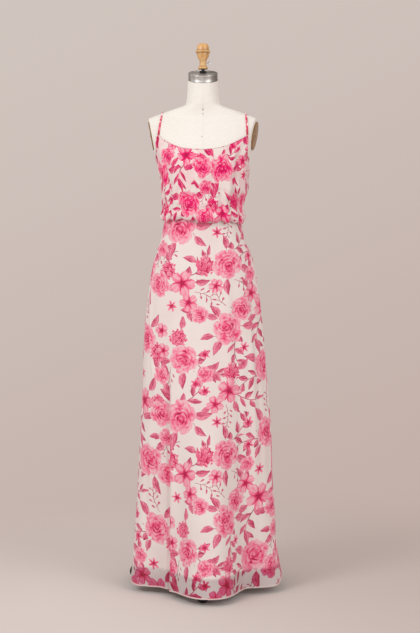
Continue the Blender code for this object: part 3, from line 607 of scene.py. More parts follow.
def make_print_group():
    net, cloth, group_output = new_group("floral_print", "Cloth", [("Colour", "Color"), ("Ink", "Float")])
    across, up, _ = net.split(cloth)
    in_column = net.math("WRAP", across, REPEAT_WIDTH, 0.0)
    column = net.math("ROUND", (across - in_column) / REPEAT_WIDTH)
    in_row = net.math("WRAP", column * (REPEAT_HEIGHT / 2) + up, REPEAT_HEIGHT, 0.0)
    place = net.join(in_column, in_row, 0.0)
    colour = net.ramp(net.noise(cloth, 7.0, 3.0), GROUND_STOPS)
    ink = 0.0
    motifs = spray_motifs()
    for kind, draw in PRINT_ORDER:
        group = motif_group(kind, draw, [motif for motif in motifs if motif.kind == kind])
        cover, tone = use_group(net, group, place)
        stops = LEAF_STOPS if kind in ("sprig", "twig", "leaf", "small leaf") else FLOWER_STOPS
        colour = net.mix_colour(cover, colour, net.ramp(tone, stops))
        ink = cover.at_least(ink)
    net.feed(group_output.inputs["Colour"], colour)
    net.feed(group_output.inputs["Ink"], ink)
    return net.tree


PRINT = make_print_group()


def woven(net, flat, pitch):
    """The rise and fall of a plain weave, from -1 to 1, with one thread for each pitch."""
    warp, weft, _ = net.split(net.vector("MULTIPLY", flat, (math.tau / pitch, math.tau / pitch, 0)))
    return net.math("SINE", warp) * net.math("SINE", weft)


def chiffon_material(name, shift, size=1.0, richness=1.0, under=None, sheer=False):
    """Crinkled, slightly shiny chiffon with the print on it. Where it is sheer, what is below shows, and
    painted shade darkens its colour there.

    With under, a second and fainter layer of the print, shifted by it, fills the ground.
    """
    material, net = start_material(name)
    flat = net.add("UVMap", {}, uv_map="UVMap")
    sized = (1 / size, 1 / size, 0)
    colour, ink = use_group(net, PRINT, net.vector("MULTIPLY_ADD", flat, sized, shift))
    if under:
        fainter, _ = use_group(net, PRINT, net.vector("MULTIPLY_ADD", flat, sized, under))
        fainter = net.mix_colour(0.84, fainter, linear(231, 223, 220))
        colour = net.mix_colour(ink, fainter, colour)
    if richness != 1:
        colour = net.add("HueSaturation", {"Color": colour, "Saturation": richness, "Value": 0.98})
    if sheer:
        above = net.add("Attribute", {}, "Fac", attribute_name="above_lining_hem")
        # Painted shade: below the lining hem the colour is darkened, the print more than the ground, for
        # the dark inside seen through the sheer band.
        unlined_shade_tint = net.mix_colour(ink, linear(236, 232, 236), linear(212, 140, 176))
        unlined_painted_shade = net.mix_colour(1.0, colour, unlined_shade_tint, "MULTIPLY")
        colour = net.mix_colour(net.fall(above, -0.002, 0.010), colour, unlined_painted_shade)
        from_hem = net.add("Attribute", {}, "Fac", attribute_name="above_hem")
        rolled = net.step(from_hem, 0.0022, 0.0040, 0.75, 0.0)
        colour = net.mix_colour(rolled, colour, linear(236, 222, 218))
        thin = net.mix(ink, 0.80, 0.94).at_least(rolled)
        net.finish({"Alpha": net.mix(net.step(above, -0.002, 0.010), thin, 1.0)})
    crepe = net.noise(flat, 420, 2.0, stretch=(1.0, 0.45, 1.0))
    fine = net.bump(crepe * 2.0 + woven(net, flat, 0.00062), 0.22, 0.00012)
    ripples = net.noise(flat, 30, 2.0, stretch=(1.0, 0.22, 1.0))
    net.finish({"Base Color": colour, "Roughness": net.mix(ink, 0.66, 0.74), "Specular IOR Level": 0.3})
    net.finish({"Normal": net.bump(ripples, 0.25, 0.0022, Normal=fine)})
    net.finish({"Sheen Weight": 0.10, "Sheen Roughness": 0.4})
    return material


# Skirt. Two panels of printed chiffon, slim over the hips and flared to a narrow rolled hem, hang from
# the waist seam in soft lengthwise folds. The front is pushed out by the stand's front caster.

SECTION_COLUMNS = "*height *left *right *front *back"
CREASE_COLUMNS = "top_azimuth low_azimuth *top *low *width *depth"
FULLNESS = 2.3
SEAM_HEIGHT = 1.2165
SKIRT_SECTIONS = table(
    SECTION_COLUMNS,
    (20, 233, 254, 203, 250),
    (60, 231, 248, 201, 247),
    (100, 228, 244, 199, 243),
    (220, 221, 239, 193, 232),
    (360, 213, 230, 183, 216),
    (520, 206, 225, 170, 197),
    (690, 199, 211, 153, 176),
    (820, 195, 201, 139, 162),
    (910, 188, 192, 130, 153),
    (960, 181, 186, 126, 148),
    (1010, 174, 178, 123, 141),
    (1070, 163, 168, 120, 131),
    (1110, 151, 154, 117, 121),
    (1150, 137, 137, 114, 111),
    (1185, 130.5, 131, 112.5, 102),
    (1200, 127, 127, 112.5, 98.5),
    (1206.5, 122.2, 122.2, 114, 97),
    (1216.5, 120.7, 120.7, 117.7, 95.7),
)
SKIRT_FOLDS = table(
    "azimuth reach *rise *start lining_share",
    (3, 14.5, 104, 860, 0.3),
    (-41, 15, -40, 980, 1),
    (-72, 12, 11, 900, 0.7),
    (38, 13, -32, 800, 1),
    (62, 13, 9, 1050, 0.7),
    (82, 12, 13, 170, 0),
    (96, 11, 9, 300, 0.5),
    (125, 12, 16, 900, 0.7),
    (147, 11, -15, 1000, 1),
    (168, 12, 21, 950, 0.7),
    (190, 10, -13, 1000, 1),
    (211, 12, 19, 900, 0.7),
    (-124, 11, -13, 950, 1),
    (-104, 11, 6, 800, 0.7),
)
SKIRT_CREASES = table(
    CREASE_COLUMNS,
    (-84, -58, 1195, 700, 8.5, -5.5),
    (-76, -49, 1180, 620, 10, 4),
    (-34, -28.5, 780, 20, 9.5, -12),
    (-28, -23, 700, 20, 12, 5.5),
    (-47, -38, 520, 60, 12, 4),
    (-62, -56, 550, 30, 12, -4.5),
    (-14, -13, 450, 80, 14, -3),
    (2, -1, 840, 500, 12, 2.5),
    (14, 8, 1205, 660, 17, -2.2),
    (23, 20, 1100, 600, 13, 3),
    (31, 29, 1000, 120, 15, -3.5),
    (48, 44, 900, 40, 12, 3.5),
    (57, 54, 1205, 350, 11, -4.5),
    (72, 69, 1190, 50, 12, 3.5),
    (81, 78, 1195, 220, 9, -4.5),
    (102, 106, 1190, 100, 13.2, -7.6),
    (113, 117, 1200, 300, 14.4, 5.9),
    (134, 136, 1205, 90, 15.6, -5.9),
    (152, 157, 1195, 240, 13.2, -6.8),
    (163, 166, 1200, 450, 16.8, 5.1),
    (181, 179, 1195, 90, 12, -7.6),
    (196, 199, 1205, 330, 14.4, 5.9),
    (207, 205, 1190, 100, 15.6, -5.9),
    (222, 226, 1200, 260, 13.2, -6.8),
    (240, 243, 1195, 100, 14.4, 5.9),
    (254, 250, 1205, 150, 12, -7.6),
)
BLOUSON_SAGS = table(
    "azimuth reach *drop",
    (-90, 16, -3),
    (-62, 12, 5),
    (-28, 14, -2),
    (5, 18, 8),
    (36, 15, 8),
    (64, 13, 12),
    (90, 12, -3),
    (140, 20, 4),
    (215, 20, 4),
)


def smooth_step(low, high, value):
    share = np.clip((value - low) / (high - low), 0, 1)
    return share * share * (3 - 2 * share)


def smooth_curve(places, values, at):
    """A smooth curve through the rows of a table, for an array of places."""
    places, values = np.asarray(places, float), np.asarray(values, float)
    slopes = np.gradient(values, places)
    at = np.clip(at, places[0], places[-1])
    i = np.clip(np.searchsorted(places, at) - 1, 0, len(places) - 2)
    span = places[i + 1] - places[i]
    t = (at - places[i]) / span
    rise = (1 + 2 * t) * (1 - t) ** 2 * values[i] + t * (1 - t) ** 2 * span * slopes[i]
    return rise + t * t * (3 - 2 * t) * values[i + 1] + t * t * (t - 1) * span * slopes[i + 1]


def curve_of(sections, column, height):
    """One named column of the sections as a smooth curve over their heights."""
    heights = [row.height for row in sections]
    return smooth_curve(heights, [getattr(row, column) for row in sections], height)


def oval(sections, azimuth, height, grow=0.0):
    """x and y on the ovals of a table of sections, for azimuths in degrees and heights."""
    s, c = np.sin(np.radians(azimuth)), np.cos(np.radians(azimuth))
    left, right, front, back = [curve_of(sections, side, height) for side in sections[0]._fields[1:]]
    across = np.where(s > 0, right, left) + grow
    deep = np.where(c > 0, front, back) + grow
    x = np.sign(s) * np.abs(s) ** (2 / FULLNESS) * across
    y = -np.sign(c) * np.abs(c) ** (2 / FULLNESS) * deep
    return x, y


def turn_between(azimuth, centre):
    return (azimuth - centre + 180) % 360 - 180


def bump_at(azimuth, centre, width):
    return np.exp(-((turn_between(azimuth, centre) / width) ** 2))


def sag_at(azimuth):
    return sum(sag.drop * bump_at(azimuth, sag.azimuth, sag.reach) for sag in BLOUSON_SAGS)


def crease_rise(creases, azimuth, height, radius):
    """How far the small folds stand out of the smooth form, in metres."""
    rise = 0.0
    for crease in creases:
        down = np.clip((crease.top - height) / (crease.top - crease.low), -0.2, 1.2)
        centre = crease.top_azimuth + (crease.low_azimuth - crease.top_azimuth) * down
        aside = np.radians(turn_between(azimuth, centre)) * radius
        fade = smooth_step(-0.02, 0.22, down) * (1 - smooth_step(0.78, 1.05, down))
        if crease.low < 0.05:
            fade = smooth_step(-0.02, 0.22, down)
        rise = rise + crease.depth * fade * np.exp(-((aside / crease.width) ** 2))
    return rise


def pushed_out(x, y, height, rise):
    """Points at x, y and height, moved straight out from the column by the rise."""
    radius = np.hypot(x, y)
    out = (radius + rise) / radius
    return np.stack([x * out, y * out, height + 0 * x], axis=-1)


def skirt_surface(azimuth, height, inset=0.0, lining=False):
    lowered = height + sag_at(azimuth) * smooth_step(1.12, 1.20, height) * (height < SEAM_HEIGHT - 2 * MM)
    x, y = oval(SKIRT_SECTIONS, azimuth, np.minimum(lowered, SEAM_HEIGHT), -inset)
    rise = 0.0
    for fold in SKIRT_FOLDS:
        grown = np.maximum(fold.start - height, 0) / fold.start
        share = fold.lining_share if lining else 1.0
        rise = rise + share * fold.rise * grown**1.4 * bump_at(azimuth, fold.azimuth, fold.reach)
    small = crease_rise(SKIRT_CREASES, azimuth, height, np.hypot(x, y))
    rise = rise + (np.minimum(small, 0) * 0.9 if lining else small)
    return pushed_out(x, y, height, rise)


FRONT_HEM = 0.023
BACK_HEM = 0.080
LOWEST_LINING_HEM = 0.079
LINING_SHORTER_BY = 0.027


def hem_height(azimuth):
    return FRONT_HEM + (BACK_HEM - FRONT_HEM) * smooth_step(62, 112, np.abs(turn_between(azimuth, 0)))


def lining_hem_height(azimuth):
    return np.maximum(LOWEST_LINING_HEM, hem_height(azimuth) + LINING_SHORTER_BY)


def rolled_edge(rows, radius, turns=1.25, steps=7):
    """Rows that curl the last edge of a sheet outwards into a thin roll. Rows run from top to hem."""
    edge, before = rows[-1], rows[-2]
    down = edge - before
    down = down / np.linalg.norm(down, axis=-1, keepdims=True)
    along = np.gradient(edge, axis=0)
    out = np.cross(down, along)
    out = out / np.linalg.norm(out, axis=-1, keepdims=True)
    added = []
    for k in range(1, steps + 1):
        angle = math.tau * turns * k / steps
        shrink = radius * (1 - 0.35 * k / steps)
        added.append(edge + down * math.sin(angle) * shrink + out * (radius - math.cos(angle) * shrink))
    return np.concatenate([rows, np.stack(added)])


def cloth_object(name, points, flat, material, attributes=()):
    """A sheet through a grid of points, rows from top to bottom, with its flat cloth as UV in metres."""
    row_count, column_count = points.shape[:2]
    bm = bmesh.new()
    bmesh.ops.create_grid(bm, x_segments=column_count - 1, y_segments=row_count - 1, size=0.5)
    bm.verts.ensure_lookup_table()
    layer = bm.loops.layers.uv.new("UVMap")
    values = [(bm.verts.layers.float.new(key), numbers) for key, numbers in attributes]
    for index, vert in enumerate(bm.verts):
        row, column = divmod(index, column_count)
        row = row_count - 1 - row
        vert.co = Vector(points[row, column]) + AXIS
        for key, numbers in values:
            vert[key] = numbers[row, column]
    for face in bm.faces:
        for loop in face.loops:
            row, column = divmod(loop.vert.index, column_count)
            loop[layer].uv = flat[row_count - 1 - row, column]
    return new_object(name, bm, material)


def flat_cloth(points, middle, from_top=True):
    """Flat-cloth coordinates: the length round from the middle column, and the length down the cloth."""
    sideways = np.linalg.norm(np.diff(points[:, :, :2], axis=1), axis=-1)
    across = np.concatenate([np.zeros((len(points), 1)), np.cumsum(sideways, axis=1)], axis=1)
    across = across - across[:, middle : middle + 1]
    steps = np.linalg.norm(np.diff(points, axis=0), axis=-1)
    down = np.concatenate([np.zeros((1, points.shape[1])), np.cumsum(steps, axis=0)])
    return np.stack([across, -down if from_top else down[-1] - down], axis=-1)


def attach(piece, body, node=None):
    """Says which body the piece moves with, and which solid it takes the place of."""
    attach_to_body(piece, body)
    if node:
        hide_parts(node)


def hang_panel(name, points, flat, material, heights=()):
    """One panel of the dress, fixed to the form, with its flat cloth as UV in metres."""
    panel = cloth_object(f"{name}_cloth", points, flat, material, heights)
    attach(panel, "form", name)


def skirt_grid(azimuths, row_count, hem, inset=None, lining=False):
    """Rows of points from the waist seam to the hem, closer together just below the seam."""
    shares = np.linspace(0, 1, row_count)
    shares = np.concatenate([np.linspace(0, shares[3], 10)[:-1], shares[3:]])
    heights = SEAM_HEIGHT - shares[:, None] * (SEAM_HEIGHT - hem(azimuths))
    return skirt_surface(azimuths, heights, inset(heights) if inset else 0.0, lining)


skirt_cloth = chiffon_material("printed_chiffon_skirt", (0.31, 0.27, 0), sheer=True)
for name, first, last, columns, rows, shift in (
    ("front", -90, 90, 230, 250, (0, 0)),
    ("back", 90, 270, 180, 200, (0.62, 0.11)),
):
    azimuths = np.linspace(first, last, columns + 1)
    points = rolled_edge(skirt_grid(azimuths, rows, hem_height), 1.3 * MM)
    flat = flat_cloth(points, columns // 2) + np.array(shift)
    heights = [
        ("above_lining_hem", points[:, :, 2] - lining_hem_height(azimuths)),
        ("above_hem", points[:, :, 2] - hem_height(azimuths)),
    ]
    hang_panel(f"skirt_{name}", points, flat, skirt_cloth, heights)


# Skirt lining. Plain ivory cloth, cut like the skirt but shorter, so that its turned and stitched hem
# shows through the sheer band above the floor.

lining_cloth, net = start_material("ivory_lining")
flat_place = net.add("UVMap", {}, uv_map="UVMap")
mottle = net.noise(flat_place, 14.0, 3.0)
net.finish(
    {
        "Base Color": net.ramp(mottle, [(0.3, (240, 226, 218)), (0.75, (233, 217, 209))]),
        "Roughness": net.step(mottle, 0.3, 0.7, 0.46, 0.56),
        "Normal": net.bump(woven(net, flat_place, 0.0004), 0.2, 0.0001),
        "Sheen Weight": 0.15,
    }
)


def lining_depth(height):
    """How far the lining lies inside the skirt: little at the waist and more towards the hem."""
    return 2.7 * MM + 5.7 * MM * (1 - smooth_step(0.85, SEAM_HEIGHT, height))


for name, first, last, columns in (("front", -90, 90, 110), ("back", 90, 270, 100)):
    points = skirt_grid(np.linspace(first, last, columns + 1), 90, lining_hem_height, lining_depth, True)
    points = rolled_edge(points, 0.8 * MM)
    hang_panel(f"lining_{name}", points, flat_cloth(points, columns // 2), lining_cloth)


# Bodice. Printed chiffon, gathered at the waist so that it blouses over the seam and turns back up
# under itself. The scooped neckline and the straight back edge are narrow turned edges.

BODICE_STRAIGHT = 1.245
GATHERED = 1.15
NECKLINE_CENTRE = 1.4335
STRAP_CORNER = 1.4845
UNDERARM = 1.409
BACK_TOP = 1.398
STRAP_AZIMUTH = 47.4
BACK_STRAP_AZIMUTH = 139.0
BODICE_SECTIONS = table(
    SECTION_COLUMNS,
    (1200, 132.5, 132.5, 127.5, 108),
    (1245, 132, 132, 129, 107),
    (1278, 133, 136, 131, 106),
    (1310, 135, 147, 134, 107),
    (1345, 140, 149, 136.5, 109),
    (1375, 149, 154, 136, 111),
    (1410, 154, 151.5, 126.5, 110),
    (1430, 162, 162, 115, 110),
    (1440, 167, 167, 109, 109),
    (1455, 176, 176, 101, 108),
    (1470, 184, 184, 94, 107),
    (1500, 194, 194, 80, 102),
)
BLOUSON_ROLL = table(
    "*height *out sag_share",
    (1245, 0, 0),
    (1234.5, 3, 0.2),
    (1225, 6.5, 0.6),
    (1216.5, 6, 0.9),
    (1210, 2, 1),
    (1207.8, -3.5, 1),
    (1209.2, -8, 0.9),
    (1213, -10, 0.5),
    (1216.5, -10.4, 0),
)
BODICE_CREASES = table(
    CREASE_COLUMNS,
    (-52, -66, 1475, 1270, 13, 3.2),
    (-45, -55, 1455, 1250, 11, -2.6),
    (-41, -29, 1460, 1250, 14, 3),
    (-14, -22, 1420, 1260, 15, -2.2),
    (12, 19, 1425, 1250, 15, -2.6),
    (40, 30, 1465, 1260, 14, 3.2),
    (46, 41, 1450, 1240, 11, -2.8),
    (53, 63, 1470, 1260, 13, 3.4),
    (118, 128, 1385, 1260, 14, 3),
    (160, 150, 1380, 1250, 15, -2.4),
    (203, 212, 1380, 1260, 15, -2.6),
    (240, 229, 1385, 1250, 14, 3.2),
    (-80, -82, 1360, 1205, 7, 3),
    (-70, -73, 1330, 1205, 8, -2.8),
    (-58, -60, 1390, 1205, 10, 3),
    (-44, -52, 1310, 1205, 7, -3),
    (-38, -42, 1360, 1205, 11, 2.8),
    (-24, -31, 1300, 1205, 6.5, -2.8),
    (-18, -21, 1340, 1205, 9, 2.4),
    (-6, -11, 1290, 1205, 6, -3),
    (0, -2, 1380, 1205, 12, 2.2),
    (9, 7, 1280, 1205, 5.5, -2.6),
    (16, 15, 1330, 1205, 8, 2.6),
    (22, 26, 1300, 1205, 7, -3.2),
    (31, 34, 1370, 1205, 10, 3),
    (38, 43, 1310, 1205, 6, -3),
    (47, 51, 1350, 1205, 9, 2.8),
    (56, 60, 1290, 1205, 6.5, -3),
    (66, 69, 1370, 1205, 10, 3.2),
    (76, 78, 1300, 1205, 7, -3),
    (84, 85, 1340, 1205, 8, 2.5),
    (98, 96, 1330, 1205, 8, -2.8),
    (109, 107, 1360, 1205, 9, 2.8),
    (120, 121, 1300, 1205, 7, -2.8),
    (133, 131, 1340, 1205, 11, 2.6),
    (146, 145, 1310, 1205, 7, -3),
    (158, 161, 1350, 1205, 10, 2.6),
    (172, 170, 1290, 1205, 6.5, -2.8),
    (184, 186, 1360, 1205, 11, 2.6),
    (199, 197, 1300, 1205, 7, -3),
    (213, 215, 1340, 1205, 9, 2.8),
    (228, 226, 1310, 1205, 7.5, -2.8),
    (243, 244, 1350, 1205, 9, 3),
    (258, 257, 1320, 1205, 7, -2.8),
)

BODICE_PUFFS = table(
    "azimuth *height reach *thick *lean *depth",
    (-62, 1292, 17, 10, 0.9, 3.6),
    (-50, 1268, 20, 8.5, 0.7, -3.4),
    (-27, 1262, 16, 9, -0.6, 3.6),
    (-8, 1283, 18, 10, 0.5, -2.6),
    (10, 1260, 17, 8.5, 0.6, 3.4),
    (30, 1281, 18, 9.5, -0.8, 3.6),
    (44, 1259, 15, 8, -0.6, -3.6),
    (60, 1296, 17, 10, -0.9, 3.6),
    (72, 1268, 14, 8, -0.5, -3.2),
    (112, 1276, 20, 9.5, 0.6, 3.2),
    (140, 1262, 17, 8.5, -0.5, -3),
    (168, 1284, 20, 10, 0.5, 3),
    (196, 1262, 18, 8.5, -0.6, 3.2),
    (222, 1280, 18, 9.5, 0.6, -2.8),
    (248, 1266, 17, 9, -0.6, 3.2),
)


def puff_rise(azimuth, height):
    """Soft slanting swells where the loose cloth sinks on itself above the waist."""
    rise = 0.0
    for puff in BODICE_PUFFS:
        aside = turn_between(azimuth, puff.azimuth)
        level = height - puff.height - puff.lean * aside
        rise = rise + puff.depth * np.exp(-((aside / puff.reach) ** 2) - (level / puff.thick) ** 2)
    return rise


def neckline_height(azimuth):
    share = np.abs(azimuth) / STRAP_AZIMUTH
    power = np.where(azimuth > 0, 1.9, 2.6)
    return NECKLINE_CENTRE + (STRAP_CORNER - NECKLINE_CENTRE) * share**power


def armhole_height(azimuth):
    share = np.clip((90 - np.abs(azimuth)) / (90 - STRAP_AZIMUTH), 0, 1)
    power = np.where(azimuth > 0, 3.8, 2.0)
    return UNDERARM + (STRAP_CORNER - UNDERARM) * share**power


def front_top(azimuth):
    on_neckline = np.abs(azimuth) <= STRAP_AZIMUTH
    return np.where(on_neckline, neckline_height(azimuth), armhole_height(azimuth))


def back_top(azimuth):
    return BACK_TOP + (UNDERARM - BACK_TOP) * (np.abs(turn_between(azimuth, 180)) / 90) ** 2


UNDER_ROLL_CREASES = 1.2375


def bodice_grid(azimuths, top, straight_rows, roll_rows):
    """Rows of points from the top edge down, over the blouson's roll and back up to the waist seam."""
    tops = top(azimuths)
    heights = tops + (BODICE_STRAIGHT - tops) * np.linspace(0, 1, straight_rows)[:, None]
    x, y = oval(BODICE_SECTIONS, azimuths, heights)
    rise = crease_rise(BODICE_CREASES, azimuths, heights, np.hypot(x, y)) + puff_rise(azimuths, heights)
    rows = [pushed_out(x, y, heights, rise)]
    knots = range(len(BLOUSON_ROLL))
    at = np.linspace(0, knots[-1], roll_rows)[1:]
    height, outwards, share = [smooth_curve(knots, column, at) for column in zip(*BLOUSON_ROLL)]
    ease = 1 - smooth_step(5.0, 8.0, at)
    for z, grow, sagged, left in zip(height, outwards, share, ease):
        x, y = oval(BODICE_SECTIONS, azimuths, BODICE_STRAIGHT, grow)
        small = crease_rise(BODICE_CREASES, azimuths, UNDER_ROLL_CREASES, np.hypot(x, y)) * left
        low = z - sag_at(azimuths) * sagged - 1.1 * small * sagged
        rows.append(pushed_out(x, y, low, small)[None])
    return np.concatenate(rows)


bodice_cloth = chiffon_material("printed_chiffon_bodice", (0.15, 0.0, 0), 0.84, 1.22, (0.01, 0.02, 0))
for name, first, last, columns, top, shift in (
    ("front", -90, 90, 200, front_top, (0, 0)),
    ("back", 90, 270, 150, back_top, (0.35, 0.2)),
):
    points = bodice_grid(np.linspace(first, last, columns + 1), top, 110, 44)
    flipped = rolled_edge(points[::-1, ::-1], 1.0 * MM, steps=5)[::-1, ::-1]
    flat = flat_cloth(flipped, columns // 2, from_top=False) * np.array([GATHERED, 1.0]) + np.array(shift)
    hang_panel(f"bodice_{name}", flipped, flat, bodice_cloth)


# Armhole bindings and straps. Narrow bias strips of the same cloth, rolled round their own seam, run
# along each armhole and carry on over the shoulder, where they lie on the form.

strap_cloth, net = start_material("rolled_print_strap")
place = net.place()
patches = net.noise(place, 46, 2.0)
stops = [
    (0.42, (188, 12, 60)),
    (0.53, (222, 32, 88)),
    (0.57, (240, 140, 166)),
    (0.59, (248, 234, 230)),
]
net.finish(
    {
        "Base Color": net.ramp(patches, stops),
        "Roughness": net.step(patches, 0.3, 0.7, 0.62, 0.72),
        "Normal": net.bump(net.noise(place, 900, 2.0), 0.3, 0.0003),
        "Sheen Weight": 0.25,
    }
)

FORM_SECTIONS = table(
    SECTION_COLUMNS,
    (800, 150, 150, 88, 108),
    (840, 161, 161, 96, 120),
    (900, 167, 167, 100, 127),
    (960, 168, 168, 102, 128),
    (1010, 163, 163, 103, 120),
    (1060, 152, 152, 101, 107),
    (1110, 137, 137, 94, 93),
    (1160, 121, 121, 85, 82),
    (1210, 113.5, 113.5, 80, 77),
    (1260, 117, 117, 85, 79),
    (1300, 124, 124, 98, 84),
    (1340, 133, 133, 118, 91),
    (1375, 141, 141, 126, 98),
    (1410, 146.5, 146.5, 119.5, 103),
    (1430, 158, 158, 110, 105),
    (1440, 163, 163, 105, 104.5),
    (1455, 172, 172, 97, 104),
    (1470, 180, 180, 90, 103),
    (1500, 190, 190, 76, 98),
    (1525, 192, 192, 64, 88),
    (1538, 187, 187, 55, 77),
    (1546, 172, 172, 51, 71),
    (1553, 153, 153, 50, 67),
    (1561.5, 131, 131, 50, 63),
    (1570, 106, 106, 51, 60),
    (1578, 81, 81, 53, 58),
    (1586, 60.5, 60.5, 55.5, 56),
    (1598, 55.5, 55.5, 56, 52.5),
    (1640, 51, 51, 56, 46),
    (1705, 48.5, 48.5, 57, 40),
)


def bodice_point(azimuth, height):
    x, y = oval(BODICE_SECTIONS, azimuth, height)
    return Vector((x, y, height))


def bodice_normal(azimuth, height):
    along = bodice_point(azimuth + 1, height) - bodice_point(azimuth - 1, height)
    upward = bodice_point(azimuth, height + 2 * MM) - bodice_point(azimuth, height - 2 * MM)
    return along.cross(upward).normalized()


def bodice_edge(azimuth, top):
    """A point on the bodice's top edge, and the way that the cloth faces there."""
    height = float(top(azimuth))
    return bodice_point(azimuth, height), bodice_normal(azimuth, height)


def tube_through(rings):
    """A tube through rings of points, with a flat cap on each end."""
    sides = len(rings[0])
    bm = bmesh.new()
    bmesh.ops.create_grid(bm, x_segments=sides, y_segments=len(rings) - 1, size=0.5)
    bm.verts.ensure_lookup_table()
    for index, vert in enumerate(bm.verts):
        row, column = divmod(index, sides + 1)
        vert.co = rings[row][column % sides]
    bmesh.ops.remove_doubles(bm, verts=bm.verts, dist=0.01 * MM)
    bmesh.ops.holes_fill(bm, edges=bm.edges, sides=0)
    bmesh.ops.recalc_face_normals(bm, faces=bm.faces)
    return bm


def directions(points):
    """The way that a line runs at each of its points."""
    return [after - before for before, after in zip(points[:1] + points[:-1], points[1:] + points[-1:])]


def rolled_strip(node, centres, across, outs, width, thick, sides=14):
    """A soft oval cord through the centres, with closed ends."""
    turns = [math.tau * k / sides for k in range(sides)]
    rings = []
    for centre, wide, out in zip(centres, across, outs):
        wide, out = wide * (width / 2), out * (thick / 2)
        rings.append([centre + wide * math.cos(turn) + out * math.sin(turn) + AXIS for turn in turns])
    attach(new_object(f"{node}_cloth", tube_through(rings), strap_cloth), "form", node)


FIRST_BOUND = STRAP_AZIMUTH + 1.5
LAST_BOUND = BACK_STRAP_AZIMUTH - 8
for side, sign in (("left", -1), ("right", 1)):
    bound = [(azimuth, front_top) for azimuth in np.linspace(FIRST_BOUND, 90, 37)]
    bound += [(azimuth, back_top) for azimuth in np.linspace(90, LAST_BOUND, 35)[1:]]
    points, outs = zip(*[bodice_edge(azimuth * sign, top) for azimuth, top in bound])
    ups = [(out.cross(along) * sign).normalized() for out, along in zip(outs, directions(points))]
    centres = [p + up * 2.2 * MM - out * 0.3 * MM for p, up, out in zip(points, ups, outs)]
    rolled_strip(f"armhole_binding_{side}", centres, ups, outs, 4.0 * MM, 2.4 * MM)


def form_depth(x, height, side):
    """How far in front of the column, or behind it, the form's surface lies."""
    share = abs(x) / float(curve_of(FORM_SECTIONS, "right", height))
    return float(curve_of(FORM_SECTIONS, side, height)) * max(1 - share**FULLNESS, 0) ** (1 / FULLNESS)


def crest_height(x):
    """How high the shoulder's crest lies at x."""
    heights = np.linspace(1.535, 1.60, 261)
    widths = curve_of(FORM_SECTIONS, "right", heights)
    return float(heights[np.argmin(np.abs(widths - abs(x)))])


OFF_FORM = 2.0 * MM
STRAP_STEPS = 40
STEPS_ON_BODICE = 12


def half_strap(sign, azimuth, top, side, crest_x):
    """The strap's line from a corner of the bodice up to the shoulder's crest, 2 mm off the form."""
    crest = crest_height(crest_x)
    corner, out = bodice_edge(azimuth * sign, top)
    corner = corner - Vector((0, 0, 1.2 * MM)) - out * 1.0 * MM
    line = []
    for k in range(STRAP_STEPS + 1):
        turn = math.pi / 2 * k / STRAP_STEPS
        share = math.sin(turn)
        height = corner.z + (crest - corner.z) * share
        x = abs(corner.x) + (crest_x - abs(corner.x)) * share
        depth = form_depth(x, height, side) + OFF_FORM * math.cos(turn)
        if k < STEPS_ON_BODICE:
            depth += (abs(corner.y) - depth) * (1 - float(smooth_step(0, STEPS_ON_BODICE, k)))
        y = -depth if side == "front" else depth
        line.append(Vector((sign * x, y, height + OFF_FORM * share)))
    return line


for side, sign, crest_x in (("left", -1, 0.133), ("right", 1, 0.1405)):
    line = half_strap(sign, STRAP_AZIMUTH, front_top, "front", crest_x)
    line += half_strap(sign, BACK_STRAP_AZIMUTH, back_top, "back", crest_x)[-2::-1]
    eased = [(before + p * 2 + after) / 4 for before, p, after in zip(line, line[1:], line[2:])]
    centres = [line[0]] + eased + [line[-1]]
    across, outs = [], []
    for i, along in enumerate(directions(centres)):
        share = i / (len(centres) - 1)
        lean = -0.12 - 0.28 * float(smooth_step(0.18, 0.35, share) - smooth_step(0.65, 0.82, share))
        along = along.normalized()
        wide = Vector((sign, 0, lean))
        wide = (wide - along * wide.dot(along)).normalized()
        across.append(wide)
        outs.append(wide.cross(along) * sign)
    rolled_strip(f"strap_{side}", centres, across, outs, 6.2 * MM, 2.2 * MM)


# Body of the form. A hollow shell covered with tightly stretched natural linen, sewn with a seam down
# the middle of front and back. Small pins mark the neck and the chest.

linen, net = start_material("stretched_linen")
from_axis = net.vector("SUBTRACT", net.place(), tuple(AXIS))
x, _, _ = net.split(from_axis)
slub = net.noise(from_axis, 900, 2.0, stretch=(1.0, 1.0, 0.12))
slub_across = net.noise(from_axis, 900, 2.0, stretch=(0.12, 0.12, 1.0))
weave = (slub + slub_across) * 0.5
mottle = net.noise(from_axis, 5.0, 3.0)
tint = net.ramp(mottle, [(0.3, (240, 240, 235)), (0.72, (236, 235, 228))])
thread = net.step(weave, 0.35, 0.65, 0.90, 1.0)
tint = net.mix_colour(1.0, tint, net.join(thread, thread, thread), "MULTIPLY")
middle_seam = net.fall(abs(x), 0.0004, 0.0011)
seam_bump = net.bump(middle_seam, 0.5, 0.0005)
seam_bump.socket.node.invert = True
net.finish(
    {
        "Base Color": net.mix_colour(middle_seam * 0.20, tint, linear(196, 176, 156)),
        "Roughness": net.step(weave, 0.3, 0.7, 0.82, 0.9),
        "Normal": net.bump(weave, 0.35, 0.0004, Normal=seam_bump),
        "Specular IOR Level": 0.2,
    }
)

CAP_TILT = math.radians(19)
NECK_CENTRE = Vector((0, -0.0085, 1.6682))
NECK_NORMAL = Vector((0, -math.sin(CAP_TILT), math.cos(CAP_TILT)))
PLATE_PLANES = {}
for side, sign, forward in (("left", -1, -0.03), ("right", 1, -0.25)):
    outwards = Vector((sign, forward, -0.181)).normalized()
    PLATE_PLANES[side] = (Vector((sign * 0.1685, 0.004, 1.487)), outwards)

